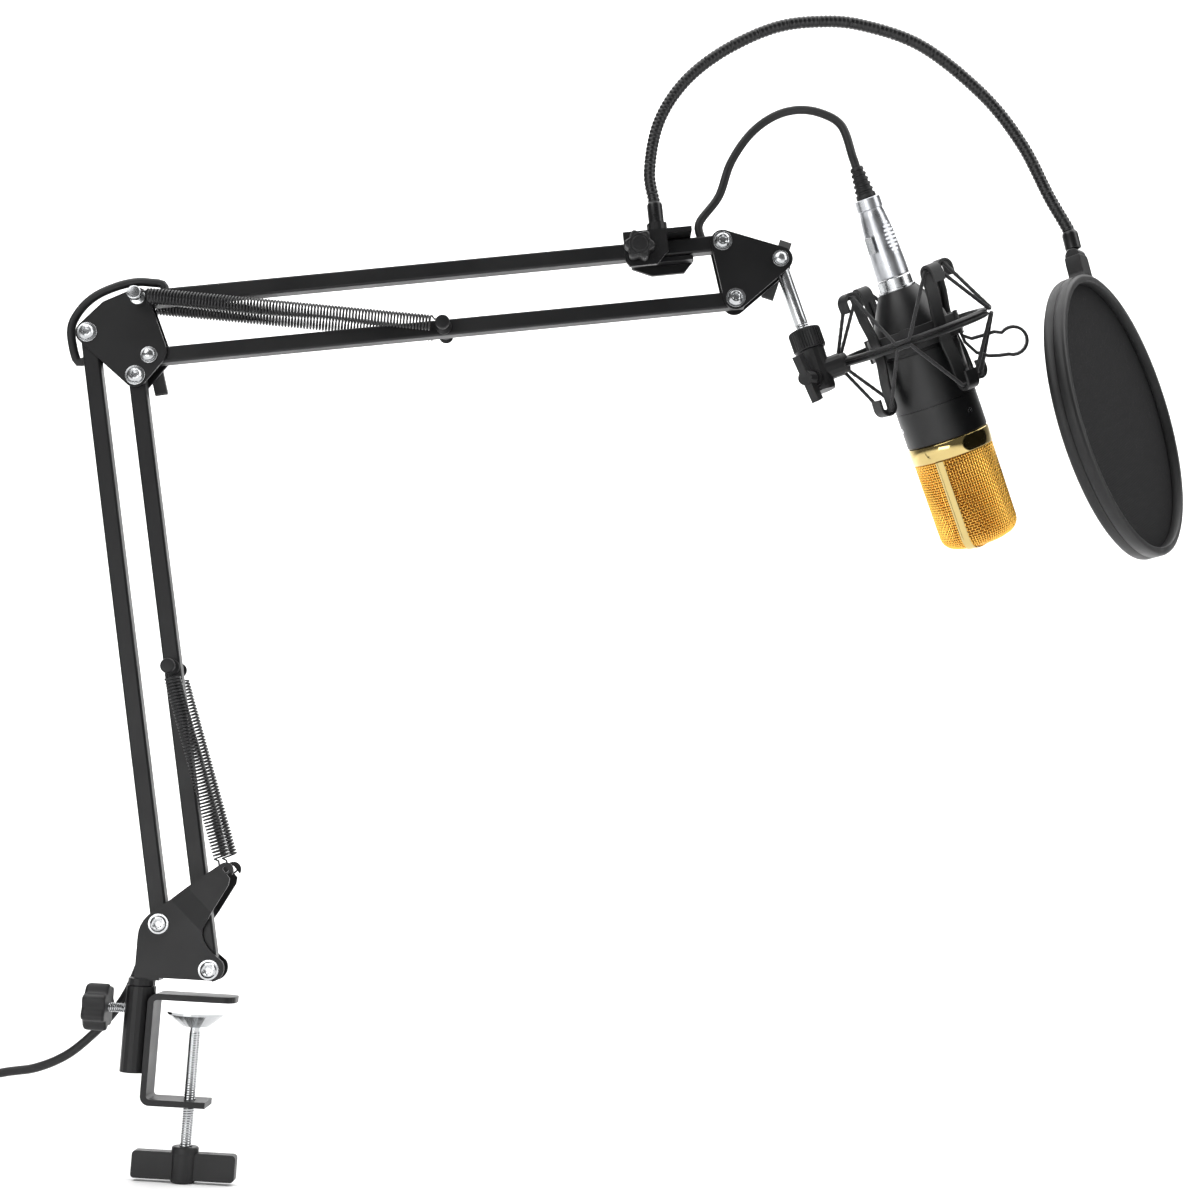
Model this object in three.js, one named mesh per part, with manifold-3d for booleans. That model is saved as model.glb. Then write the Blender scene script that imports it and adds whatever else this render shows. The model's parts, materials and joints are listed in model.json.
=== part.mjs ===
// Condenser microphone in a shock mount on a spring-balanced desk arm, with its lead and a pop filter.
// Millimetres, +Z up. The origin is on the underside of the clamp's upper jaw, over the clamp screw, where
// the jaw rests on a desk top. The arm works in the plane y = 0; -Y is the front.
import * as THREE from "three";
import { mergeVertices } from "three/addons/utils/BufferGeometryUtils.js";
import Module from "manifold-3d";

const wasm = await Module();
wasm.setup();

// ---- Driving dimensions ----
const TUBE_LENGTH = 323; // pivot to pivot, all four tubes
const TUBE_WIDTH = 9; // square tube, outside
const TUBE_WALL = 1;
const LOWER_ANGLE = 101.8; // degrees from +X
const UPPER_ANGLE = 9.2;
const PLATE = 1.5; // sheet thickness of brackets and plates
const PLATE_IN = 5; // half the gap between a front and a back plate
const PLATE_OUT = PLATE_IN + PLATE;
const BOLT_R = 2.6;
const HOLE_R = 3;
const SPRING_Y = 11.5; // how far the springs run in front of and behind the tubes
const SPRING_R = 4.5;
const LEAD_R = 2.4;
const GAP = 0.3; // between faces that touch

const BASE_A = [-22.5, 39]; // pivots as [x, z]
const BASE_AB = [28.2, -22.4]; // from pivot a to pivot b
const ELBOW_AC = [25.8, 21.2]; // from the elbow's pivot a to its pivot c
const HEAD_CD = [8.9, -31.8]; // from pivot c to pivot d
const HEAD_CT = [32.6, -8]; // from pivot c to the tilt pivot

const JAW_WIDTH = 20;
const JAW_THICK = 3.2;
const JAW_HEIGHT = 51; // throat between the jaws
const JAW_REACH = 21;
const SPINE_X = -24;
const POST_X = -30;
const POST_R = 5.5;
const SOCKET_R = 7.75;
const SOCKET_TOP = 6;
const SOCKET_BOTTOM = -38.5;
const LOCK_Z = -6;
const PAD_R = 15;
const PAD_TOP = -6;
const SCREW_R = 3;
const HANDLE_TOP = -75;
const HANDLE_BOTTOM = -93.5;
const HANDLE_HALF = 27;

const STUD_LEAN = 21.5; // degrees that the stud leans from vertical, in the arm's plane
const MOUNT_LEAN = 24; // the same for the shock mount's axis
const MOUNT_ROLL = 13; // degrees that the mount is rolled about its arm
const STUD_R = 3.75;
const RING_DROP = 66; // from the tilt pivot down the stud to the level of the ring's arm
const RING_OFFSET = 57; // from the stud's axis to the ring's centre
const RING_R = 42.5;
const RING_WALL = 5;
const RING_HEIGHT = 4.8;

const BODY_R = 22.8; // microphone body
const BODY_TOP = 27.5;
const BODY_BOTTOM = -58.2;
const TRIM_R = 23.1;
const TRIM_HEIGHT = 9.5;
const GRILLE_R = 22.3;
const GRILLE_END = -121.5;
const GRILLE_WALL = 0.8;
const NECK_R = 9.5;

const HOOP_CENTRE = [469.5, -32, 336];
const HOOP_R = 78;
const HOOP_DEPTH = 12;
const HOOP_TURN = 35.6; // degrees that the hoop's face is turned to the front
const HOOP_LEAN = 15.6; // degrees that its top leans back over the arm
const NECK_TOP = 94; // the hoop's neck block, from the hoop's centre
const NECK_ROUND = 4; // radius of its knuckle, about which the hoop tilts
const GOOSE_R = 3.3;
const POP_ALONG = 289; // the pop filter clamp, along the upper tube from pivot c
const LEAD_EXIT = 312; // where the lead leaves the upper tube
const TAIL_EXIT = 16; // where the lead leaves the lower tube, at its back

const FLOOR_Z = -93.4; // the level that the stored coil lies on
const COIL_MEAN_R = 27;
const COIL_CENTRE = [-181, -4.4];

// ---- Small helpers ----
const rad = THREE.MathUtils.degToRad;
const v3 = (x, y, z) => new THREE.Vector3(x, y, z);
const along = (angle) => [Math.cos(rad(angle)), Math.sin(rad(angle))];
const shift = ([x, z], [dx, dz], t = 1) => [x + dx * t, z + dz * t];

function solidOf(geometry) {
  const bare = geometry.clone();
  bare.deleteAttribute("normal");
  bare.deleteAttribute("uv");
  const merged = mergeVertices(bare, 1e-4);
  const corners = merged.index.array;
  const kept = [];
  for (let i = 0; i < corners.length; i += 3) {
    const [a, b, c] = corners.slice(i, i + 3);
    if (a !== b && b !== c && c !== a) kept.push(a, b, c);
  }
  return new wasm.Manifold(
    new wasm.Mesh({
      numProp: 3,
      vertProperties: merged.attributes.position.array,
      triVerts: new Uint32Array(kept),
    }),
  );
}

function geometryOf(solid) {
  const mesh = solid.getMesh();
  const geometry = new THREE.BufferGeometry();
  geometry.setAttribute("position", new THREE.BufferAttribute(mesh.vertProperties, 3));
  geometry.setIndex(new THREE.BufferAttribute(mesh.triVerts, 1));
  return geometry;
}

const join = (...parts) => geometryOf(parts.map(solidOf).reduce((a, b) => a.add(b)));
const cut = (base, ...tools) =>
  geometryOf(tools.map(solidOf).reduce((a, b) => a.subtract(b), solidOf(base)));
const common = (a, b) => geometryOf(solidOf(a).intersect(solidOf(b)));

// A solid of revolution about the line from a point along a direction; profile points are [radius, height].
function turned(profile, origin = v3(0, 0, 0), direction = v3(0, 0, 1), sides = 24) {
  const points = profile.map(([r, h]) => new THREE.Vector2(r, h));
  const geometry = new THREE.LatheGeometry(points, sides);
  const area = points.reduce((sum, p, i) => {
    const q = points[(i + 1) % points.length];
    return sum + p.x * q.y - q.x * p.y;
  }, 0);
  if (area < 0) geometry.index.array.reverse();
  const turn = new THREE.Quaternion().setFromUnitVectors(v3(0, 1, 0), direction.clone().normalize());
  return geometry.applyQuaternion(turn).translate(origin.x, origin.y, origin.z);
}

function rod(radius, from, to, sides = 16) {
  const span = to.clone().sub(from);
  const profile = [[0, 0], [radius, 0], [radius, span.length()], [0, span.length()]];
  return turned(profile, from, span, sides);
}

function block(x0, x1, y0, y1, z0, z1) {
  const geometry = new THREE.BoxGeometry(x1 - x0, y1 - y0, z1 - z0);
  return geometry.translate((x0 + x1) / 2, (y0 + y1) / 2, (z0 + z1) / 2);
}

// A flat shape drawn in x and z, extruded from y0 to y1.
function slab(shape, y0, y1, curveSegments = 6) {
  const geometry = new THREE.ExtrudeGeometry(shape, { depth: y1 - y0, bevelEnabled: false, curveSegments });
  return geometry.rotateX(Math.PI / 2).translate(0, y1, 0);
}

// The outline that a belt round several discs would have; discs are [x, z, radius].
function beltShape(discs, stepsRound = 18) {
  const points = [];
  for (const [x, z, r] of discs)
    for (let i = 0; i < stepsRound; i++) {
      const angle = (2 * Math.PI * i) / stepsRound;
      points.push([x + r * Math.cos(angle), z + r * Math.sin(angle)]);
    }
  points.sort((p, q) => p[0] - q[0] || p[1] - q[1]);
  const turn = (o, a, b) => (a[0] - o[0]) * (b[1] - o[1]) - (a[1] - o[1]) * (b[0] - o[0]);
  const half = (list) => {
    const chain = [];
    for (const p of list) {
      while (chain.length > 1 && turn(chain.at(-2), chain.at(-1), p) <= 1e-9) chain.pop();
      chain.push(p);
    }
    return chain.slice(0, -1);
  };
  const hull = [...half(points), ...half(points.toReversed())];
  return new THREE.Shape(hull.map(([x, z]) => new THREE.Vector2(x, z)));
}

function sweep(points, radius, sides, steps, tension = 0.5) {
  const curve = new THREE.CatmullRomCurve3(points, false, "catmullrom", tension);
  const section = new THREE.Shape(
    Array.from({ length: sides }, (_, i) => {
      const angle = (2 * Math.PI * i) / sides;
      return new THREE.Vector2(radius * Math.cos(angle), radius * Math.sin(angle));
    }),
  );
  return new THREE.ExtrudeGeometry(section, { steps, bevelEnabled: false, extrudePath: curve });
}

const crossHole = ([x, z], r = HOLE_R) => rod(r, v3(x, -40, z), v3(x, 40, z), 12);

const FINISH = {
  blackSteel: { color: 0x1b1b1d, roughness: 0.42, metalness: 0.3 },
  nickel: { color: 0xc9ccd0, roughness: 0.25, metalness: 1 },
  blackPlastic: { color: 0x151516, roughness: 0.5, metalness: 0 },
  satinBlack: { color: 0x121214, roughness: 0.45, metalness: 0.3 },
  satinSilver: { color: 0xb9bcc2, roughness: 0.35, metalness: 1 },
  gold: { color: 0xd8b45a, roughness: 0.2, metalness: 1 },
  goldMesh: { color: 0xe0a23a, roughness: 0.35, metalness: 1 },
  springSteel: { color: 0x2a2a2c, roughness: 0.35, metalness: 0.8 },
  rubber: { color: 0x1a1a1b, roughness: 0.7, metalness: 0 },
  cloth: { color: 0x0c0c0d, roughness: 0.95, metalness: 0 },
  board: { color: 0x1c5a34, roughness: 0.6, metalness: 0 },
};

const root = new THREE.Group();

function add(name, geometry, finish, parent = root) {
  const closed = geometryOf(solidOf(geometry));
  const mesh = new THREE.Mesh(closed, new THREE.MeshStandardMaterial(FINISH[finish]));
  mesh.name = name;
  parent.add(mesh);
  return mesh;
}

// ---- Pivots ----
const lowerDir = along(LOWER_ANGLE);
const upperDir = along(UPPER_ANGLE);
const baseB = shift(BASE_A, BASE_AB);
const elbowA = shift(BASE_A, lowerDir, TUBE_LENGTH);
const elbowB = shift(baseB, lowerDir, TUBE_LENGTH);
const elbowC = shift(elbowA, ELBOW_AC);
const elbowD = shift(elbowC, HEAD_CD);
const headC = shift(elbowC, upperDir, TUBE_LENGTH);
const headD = shift(elbowD, upperDir, TUBE_LENGTH);
const tilt = shift(headC, HEAD_CT);
const lowerSpringPin = shift(baseB, lowerDir, TUBE_LENGTH / 2);
const upperSpringPin = shift(elbowD, upperDir, TUBE_LENGTH / 2);
const baseHook = [11, 69.8];

// ---- Desk clamp ----
function clampFrame() {
  const out = 5;
  const inner = out - JAW_THICK;
  const left = SPINE_X;
  const bottom = -JAW_HEIGHT - JAW_THICK;
  const lowEnd = 10;
  const shape = new THREE.Shape();
  shape.moveTo(JAW_REACH, 0);
  shape.lineTo(JAW_REACH, JAW_THICK);
  shape.lineTo(left + out, JAW_THICK);
  shape.absarc(left + out, JAW_THICK - out, out, Math.PI / 2, Math.PI, false);
  shape.lineTo(left, bottom + out);
  shape.absarc(left + out, bottom + out, out, Math.PI, 1.5 * Math.PI, false);
  shape.lineTo(lowEnd, bottom);
  shape.lineTo(lowEnd, bottom + JAW_THICK);
  shape.lineTo(left + out, bottom + JAW_THICK);
  shape.absarc(left + out, bottom + out, inner, 1.5 * Math.PI, Math.PI, true);
  shape.lineTo(left + JAW_THICK, JAW_THICK - out);
  shape.absarc(left + out, JAW_THICK - out, inner, Math.PI, Math.PI / 2, true);
  const strip = slab(shape, -JAW_WIDTH / 2, JAW_WIDTH / 2);
  const nose = 6;
  const plan = beltShape([
    [JAW_REACH - nose, JAW_WIDTH / 2 - nose, nose],
    [JAW_REACH - nose, nose - JAW_WIDTH / 2, nose],
    [left - 5, JAW_WIDTH / 2, 0.1],
    [left - 5, -JAW_WIDTH / 2, 0.1],
  ]);
  const planSolid = new THREE.ExtrudeGeometry(plan, { depth: 80, bevelEnabled: false });
  planSolid.translate(0, 0, -70);
  const socket = rod(SOCKET_R, v3(POST_X, 0, SOCKET_BOTTOM), v3(POST_X, 0, SOCKET_TOP), 20);
  const bore = rod(POST_R + 0.4, v3(POST_X, 0, SOCKET_BOTTOM - 1), v3(POST_X, 0, SOCKET_TOP + 1), 20);
  const lockHole = rod(2.8, v3(POST_X - 12, 0, LOCK_Z), v3(POST_X, 0, LOCK_Z), 12);
  const screwHole = rod(SCREW_R + 0.4, v3(0, 0, bottom - 1), v3(0, 0, bottom + 5), 16);
  return cut(join(common(strip, planSolid), socket), bore, lockHole, screwHole);
}

function clampPad() {
  const low = PAD_TOP - 7.4;
  const seat = SCREW_R + 0.4;
  const profile = [
    [0, PAD_TOP - 3], [seat, PAD_TOP - 3], [seat, low], [7, low],
    [PAD_R, PAD_TOP - 1.2], [PAD_R, PAD_TOP], [0, PAD_TOP],
  ];
  return turned(profile, v3(0, 0, 0), v3(0, 0, 1), 24);
}

function clampHandle() {
  const bar = new THREE.Shape();
  const top = HANDLE_TOP - 3;
  bar.moveTo(-HANDLE_HALF, HANDLE_BOTTOM + 1.5);
  bar.lineTo(HANDLE_HALF, HANDLE_BOTTOM + 1.5);
  bar.lineTo(HANDLE_HALF, top);
  bar.lineTo(-HANDLE_HALF, top);
  const hub = rod(7, v3(0, 0, HANDLE_BOTTOM), v3(0, 0, HANDLE_TOP), 20);
  const bore = rod(SCREW_R + GAP, v3(0, 0, HANDLE_BOTTOM + 4), v3(0, 0, HANDLE_TOP + 1), 16);
  return cut(join(slab(bar, -3.5, 3.5), hub), bore);
}

// A knob with round lobes about the X axis, with its screw.
function lobedKnob(lobes, radius, lobeRadius, depth) {
  const shape = new THREE.Shape();
  const count = lobes * 6;
  for (let i = 0; i <= count; i++) {
    const angle = (2 * Math.PI * i) / count;
    const r = radius - lobeRadius * (0.5 - 0.5 * Math.cos(lobes * angle));
    const point = [r * Math.cos(angle), r * Math.sin(angle)];
    if (i === 0) shape.moveTo(...point);
    else if (i < count) shape.lineTo(...point);
  }
  return new THREE.ExtrudeGeometry(shape, { depth, bevelEnabled: false });
}

function lockKnob() {
  const knob = lobedKnob(7, 12.5, 2.6, 12.5).rotateY(Math.PI / 2).translate(POST_X - 28.5, 0, LOCK_Z);
  return join(knob, rod(2.4, v3(POST_X - 17, 0, LOCK_Z), v3(POST_X - POST_R - 0.4, 0, LOCK_Z), 12));
}

add("clamp_frame", clampFrame(), "blackSteel");
add("clamp_pad", clampPad(), "nickel");
const screwEnd = HANDLE_BOTTOM + 4 + GAP;
add("clamp_screw", rod(SCREW_R, v3(0, 0, screwEnd), v3(0, 0, PAD_TOP - 3 - GAP), 16), "nickel");
add("clamp_handle", clampHandle(), "blackPlastic");
add("lock_knob", lockKnob(), "blackPlastic");

// ---- Base bracket ----
const BEND_DIR = -42.5; // degrees from +X of the two bend lines across each side sheet
const BEND_START = 26.8; // distance of the first bend line from the origin
const BEND_END = 38.2;
const HOOK_R = 4.2;

function bracketOutline() {
  const shape = new THREE.Shape();
  shape.moveTo(-33, 11);
  shape.lineTo(baseB[0] + 2, 11);
  shape.absarc(baseB[0] + 1, baseB[1] + 0.8, 7, -1.4, 0.6, false);
  shape.quadraticCurveTo(-3.5, 32, 2.5, 40.5);
  shape.lineTo(13.6, 61.5);
  shape.absarc(baseHook[0] + 0.4, baseHook[1] - 0.8, HOOK_R, -0.9, 2.2, false);
  shape.lineTo(-24, 46.8);
  shape.quadraticCurveTo(-33, 41, -33, 32);
  return shape;
}

// One side sheet: flat over the pivots, then bent outwards so that its hook lines up with the springs.
function bracketSide(side) {
  const outer = SPRING_Y + PLATE / 2;
  const step = outer - PLATE_OUT;
  const far = 60;
  const path = new THREE.Shape();
  path.moveTo(-far, PLATE_IN);
  path.lineTo(BEND_START, PLATE_IN);
  path.lineTo(BEND_END, PLATE_IN + step);
  path.lineTo(2 * far, PLATE_IN + step);
  path.lineTo(2 * far, outer);
  path.lineTo(BEND_END, outer);
  path.lineTo(BEND_START, PLATE_OUT);
  path.lineTo(-far, PLATE_OUT);
  const fold = new THREE.ExtrudeGeometry(path, { depth: 4 * far, bevelEnabled: false });
  fold.translate(0, 0, -2 * far).rotateX(side > 0 ? 0 : Math.PI).rotateY(-rad(90 + BEND_DIR));
  return common(slab(bracketOutline(), -outer - 1, outer + 1), fold);
}

function baseBracket() {
  const web = block(-33, -33 + PLATE, -PLATE_IN - 0.5, PLATE_IN + 0.5, 11, 30);
  const floor = block(-33, -20, -PLATE_IN - 0.5, PLATE_IN + 0.5, 9.5, 11.5);
  const pin = rod(POST_R, v3(POST_X, 0, SOCKET_BOTTOM + 4), v3(POST_X, 0, 10), 16);
  const flange = rod(7.2, v3(POST_X, 0, SOCKET_TOP + 0.5), v3(POST_X, 0, 10), 16);
  const notch = rod(1.2, v3(baseHook[0], -40, baseHook[1]), v3(baseHook[0], 40, baseHook[1]), 10);
  const mouth = block(0, 9, -40, 40, -1.1, 1.1).rotateY(rad(48)).translate(baseHook[0], 0, baseHook[1]);
  const holes = [crossHole(BASE_A), crossHole(baseB), notch, mouth];
  return cut(join(bracketSide(-1), bracketSide(1), web, floor, pin, flange), ...holes);
}

// A pivot bolt across both plates: a round head in front and a flat nut behind.
function pivotBolt([x, z], headR = 4.4, headOut = 2.8) {
  const front = PLATE_OUT + GAP;
  const profile = [
    [0, -front - headOut], [headR * 0.72, -front - headOut],
    [headR, -front - headOut * 0.55], [headR, -front],
    [BOLT_R, -front], [BOLT_R, front], [headR, front], [headR, front + 2], [0, front + 2],
  ];
  return turned(profile, v3(x, 0, z), v3(0, 1, 0), 14);
}

// A bolt that reaches out on both sides to carry the springs' hooks.
function springBolt([x, z], seat) {
  const tip = SPRING_Y + 5.5;
  const profile = [
    [0, -tip], [3.2, -tip], [3.6, -tip + 2.2], [2, -tip + 2.2],
    [2, -seat - 2], [3.8, -seat - 2], [3.8, -seat],
    [2.4, -seat], [2.4, seat], [3.8, seat], [3.8, seat + 2], [2, seat + 2], [2, tip - 2.2],
    [3.6, tip - 2.2], [3.2, tip], [0, tip],
  ];
  return turned(profile, v3(x, 0, z), v3(0, 1, 0), 10);
}

// A pivot bolt with a domed head, and a long threaded end that carries a wing nut behind.
function wingBolt([x, z]) {
  const front = PLATE_OUT + GAP;
  const profile = [
    [0, -front - 3], [2, -front - 2.7], [3.5, -front - 1.2], [3.5, -front],
    [BOLT_R, -front], [BOLT_R, PLATE_OUT], [2.2, PLATE_OUT + 0.2], [2.2, 15], [0, 15],
  ];
  return turned(profile, v3(x, 0, z), v3(0, 1, 0), 12);
}

function wingNut([x, z], angle) {
  const y0 = PLATE_OUT + GAP;
  const hub = rod(4.6, v3(0, y0, 0), v3(0, y0 + 5, 0), 16);
  const wing = new THREE.Shape();
  wing.moveTo(-17, 14.5);
  wing.quadraticCurveTo(-19, 17, -15.5, 17.2);
  wing.lineTo(-6, 12.2);
  wing.lineTo(6, 12.2);
  wing.lineTo(15.5, 17.2);
  wing.quadraticCurveTo(19, 17, 17, 14.5);
  wing.lineTo(6, 8.8);
  wing.lineTo(-6, 8.8);
  const wings = new THREE.ExtrudeGeometry(wing, { depth: 7, bevelEnabled: false, curveSegments: 3 });
  wings.translate(0, 0, -3.5);
  const nut = cut(join(hub, wings), rod(2.5, v3(0, 0, 0), v3(0, 30, 0), 14));
  return nut.rotateY(-rad(angle)).translate(x, 0, z);
}

add("base_bracket", baseBracket(), "blackSteel");
add("base_bolt_a", pivotBolt(BASE_A), "nickel");
add("base_bolt_b", pivotBolt(baseB), "nickel");

// ---- Arm tubes ----
// A square tube between two pivots, open at both ends, with cross holes for bolts.
// leadHoles lists [distance along, y, z]: a hole for the lead in the face towards that side.
function armTube(from, angle, pinAlong, leadHoles) {
  const half = TUBE_WIDTH / 2;
  const corner = 1.1;
  const section = (h, r) => {
    const shape = new THREE.Shape();
    [[1, 1], [-1, 1], [-1, -1], [1, -1]].forEach(([sx, sy], i) =>
      shape.absarc(sx * (h - r), sy * (h - r), r, (i * Math.PI) / 2, ((i + 1) * Math.PI) / 2, false),
    );
    return shape;
  };
  const over = 4.5;
  const length = TUBE_LENGTH + 2 * over;
  const stretch = (shape, from0, depth) =>
    new THREE.ExtrudeGeometry(shape, { depth, bevelEnabled: false, curveSegments: 1 })
      .rotateY(Math.PI / 2)
      .translate(from0, 0, 0);
  const holes = [0, TUBE_LENGTH, ...pinAlong].map((x) =>
    rod(x > 1 && x < TUBE_LENGTH ? 2.8 : HOLE_R, v3(x, -40, 0), v3(x, 40, 0), 10),
  );
  for (const [x, y, z] of leadHoles) holes.push(rod(LEAD_R + 0.5, v3(x, 0, 0), v3(x, y, z), 10));
  const outer = stretch(section(half, corner), -over, length);
  const inner = stretch(section(half - TUBE_WALL, 0.4), -over - 1, length + 2);
  const tube = cut(outer, inner, ...holes);
  return tube.rotateY(-rad(angle)).translate(from[0], 0, from[1]);
}

const MID = TUBE_LENGTH / 2;
const holesA = [[TAIL_EXIT, 20, 0], [TUBE_LENGTH - 14, 0, 20]];
const holesC = [[14, 0, 20], [LEAD_EXIT, 0, 20]];
add("lower_tube_a", armTube(BASE_A, LOWER_ANGLE, [], holesA), "blackSteel");
add("lower_tube_b", armTube(baseB, LOWER_ANGLE, [MID], []), "blackSteel");
add("upper_tube_c", armTube(elbowC, UPPER_ANGLE, [], holesC), "blackSteel");
add("upper_tube_d", armTube(elbowD, UPPER_ANGLE, [MID], []), "blackSteel");
add("lower_spring_bolt", springBolt(lowerSpringPin, TUBE_WIDTH / 2 + GAP), "nickel");
add("upper_spring_bolt", springBolt(upperSpringPin, TUBE_WIDTH / 2 + GAP), "nickel");

// A spring as the plain cylinder that its coils fill, between two hook points.
function spring(from, to, side) {
  const a = v3(from[0], side * SPRING_Y, from[1]);
  const b = v3(to[0], side * SPRING_Y, to[1]);
  const end = b.clone().sub(a).normalize().multiplyScalar(7);
  return rod(SPRING_R, a.add(end), b.sub(end), 10);
}

for (const [side, word] of [[-1, "front"], [1, "back"]]) {
  add("lower_spring_" + word, spring(lowerSpringPin, baseHook, side), "springSteel");
  add("upper_spring_" + word, spring(elbowC, upperSpringPin, side), "springSteel");
}

// ---- Elbow and head plates ----
const elbowDiscs = [
  [...elbowA, 6.5], [elbowA[0] + 9.5, elbowA[1] + 14.5, 4], [...elbowC, 5.5],
  [elbowD[0] + 1.5, elbowD[1] + 2, 8], [...elbowB, 6.5],
];
const headDiscs = [[...headC, 6.5], [...headD, 6.5], [...tilt, 6.8]];

for (const [word, y0] of [["front", -PLATE_OUT], ["back", PLATE_IN]]) {
  const elbowHoles = [elbowA, elbowB, elbowC, elbowD].map((p) => crossHole(p));
  add("elbow_plate_" + word, cut(slab(beltShape(elbowDiscs), y0, y0 + PLATE), ...elbowHoles), "blackSteel");
  const headHoles = [headC, headD, tilt].map((p) => crossHole(p));
  add("head_plate_" + word, cut(slab(beltShape(headDiscs), y0, y0 + PLATE), ...headHoles), "blackSteel");
}

add("elbow_bolt_a", pivotBolt(elbowA), "nickel");
add("elbow_bolt_b", pivotBolt(elbowB), "nickel");
add("elbow_spring_bolt", springBolt(elbowC, PLATE_OUT + GAP), "nickel");
add("elbow_clamp_bolt", wingBolt(elbowD), "nickel");
add("elbow_wing_nut", wingNut(elbowD, -78), "blackPlastic");
add("head_bolt_c", pivotBolt(headC), "nickel");
add("head_bolt_d", pivotBolt(headD), "nickel");
add("tilt_bolt", wingBolt(tilt), "nickel");
add("head_wing_nut", wingNut(tilt, -105), "blackPlastic");

// ---- Stud and adapter, in a group whose -Z runs down the stud ----
const studGroup = new THREE.Group();
studGroup.position.set(tilt[0], 0, tilt[1]);
studGroup.rotation.y = -rad(STUD_LEAN);
root.add(studGroup);

const COLLAR_TOP = -41;
const COLLAR_BOTTOM = -53;
const STUD_END = -57.5;
const WING_Z = -70;
const wingDir = v3(-Math.sin(rad(33)), -Math.cos(rad(33)), 0);
const armTilt = rad(MOUNT_LEAN - STUD_LEAN);
const armDir = v3(Math.cos(armTilt), 0, Math.sin(armTilt));

function stud() {
  const eye = rod(5.2, v3(0, -PLATE_IN + 0.4, 0), v3(0, PLATE_IN - 0.4, 0), 20);
  const shaft = rod(STUD_R, v3(0, 0, STUD_END), v3(0, 0, 0), 20);
  return cut(join(eye, shaft), rod(HOLE_R, v3(0, -10, 0), v3(0, 10, 0), 16));
}

function collarNut() {
  const bore = STUD_R + GAP;
  const profile = [
    [bore, COLLAR_BOTTOM], [8.6, COLLAR_BOTTOM], [9.1, COLLAR_BOTTOM + 1],
    [9.1, COLLAR_TOP - 1], [8.4, COLLAR_TOP], [bore, COLLAR_TOP], [bore, COLLAR_BOTTOM],
  ];
  return turned(profile, v3(0, 0, 0), v3(0, 0, 1), 20);
}

function adapterBody() {
  const top = COLLAR_BOTTOM - GAP;
  const profile = [[0, -77], [6.2, -77], [6.9, -75.5], [7.7, top], [0, top]];
  const middle = v3(0, 0, -RING_DROP);
  const barrelEnd = middle.clone().addScaledVector(armDir, RING_OFFSET - RING_R - 1.2);
  const boss = v3(0, 0, WING_Z);
  const pieces = [
    turned(profile, v3(0, 0, 0), v3(0, 0, 1), 18),
    rod(6.5, middle, barrelEnd, 16),
    rod(4.7, boss, boss.clone().addScaledVector(wingDir, 9.2), 12),
  ];
  const holes = [
    rod(STUD_R + GAP, v3(0, 0, STUD_END - GAP), v3(0, 0, 0), 16),
    rod(3.6, middle.clone().addScaledVector(armDir, 2), middle.clone().addScaledVector(armDir, 30), 12),
    rod(2.4, boss.clone().addScaledVector(wingDir, 4), boss.clone().addScaledVector(wingDir, 30), 10),
  ];
  return cut(join(...pieces), ...holes);
}

// The wing screw: a round hub on a short screw, with one flat wing across it.
function wingScrew() {
  const at = (t) => v3(0, 0, WING_Z).addScaledVector(wingDir, t);
  const wing = new THREE.BoxGeometry(4.2, 7.5, 27);
  wing.rotateX(rad(13));
  const along = v3(-wingDir.y, wingDir.x, 0);
  wing.applyQuaternion(new THREE.Quaternion().setFromUnitVectors(v3(1, 0, 0), along));
  const centre = at(17);
  wing.translate(centre.x, centre.y, centre.z);
  return join(rod(2, at(4.6), at(14), 12), rod(4, at(12), at(21), 18), wing);
}

add("stud", stud(), "nickel", studGroup);
add("collar_nut", collarNut(), "blackPlastic", studGroup);
add("adapter_body", adapterBody(), "blackPlastic", studGroup);
add("wing_screw", wingScrew(), "blackPlastic", studGroup);

// ---- Shock mount and microphone, in a group centred on the ring, with +Z towards the connector ----
const crossPoint = v3(0, 0, -RING_DROP).applyEuler(studGroup.rotation).add(studGroup.position);
const mountX = v3(Math.cos(rad(MOUNT_LEAN)), 0, Math.sin(rad(MOUNT_LEAN)));
const leanGroup = new THREE.Group();
leanGroup.position.copy(crossPoint).addScaledVector(mountX, RING_OFFSET);
leanGroup.rotation.y = -rad(MOUNT_LEAN);
root.add(leanGroup);
const mount = new THREE.Group();
mount.rotation.x = rad(MOUNT_ROLL);
leanGroup.add(mount);

function shockRing() {
  const half = RING_HEIGHT / 2;
  const soft = 1.2;
  const inner = RING_R - RING_WALL;
  const profile = [
    [inner, -half], [RING_R - soft, -half], [RING_R, -half + soft], [RING_R, half - soft],
    [RING_R - soft, half], [inner, half], [inner, -half],
  ];
  const collar = rod(5.6, v3(-RING_R - 0.9, 0, 0), v3(-RING_R + 2.2, 0, 0), 16);
  const spigot = rod(3.2, v3(-RING_OFFSET + 2.6, 0, 0), v3(-RING_R, 0, 0), 16);
  return join(turned(profile, v3(0, 0, 0), v3(0, 0, 1), 36), collar, spigot);
}

const HOOK_ANGLES = [22, 112, 202, 292];
const HOOK_TOP = 30;
const HOOK_WIDTH = 8;
const BAND_R = BODY_R + 0.4;

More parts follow.
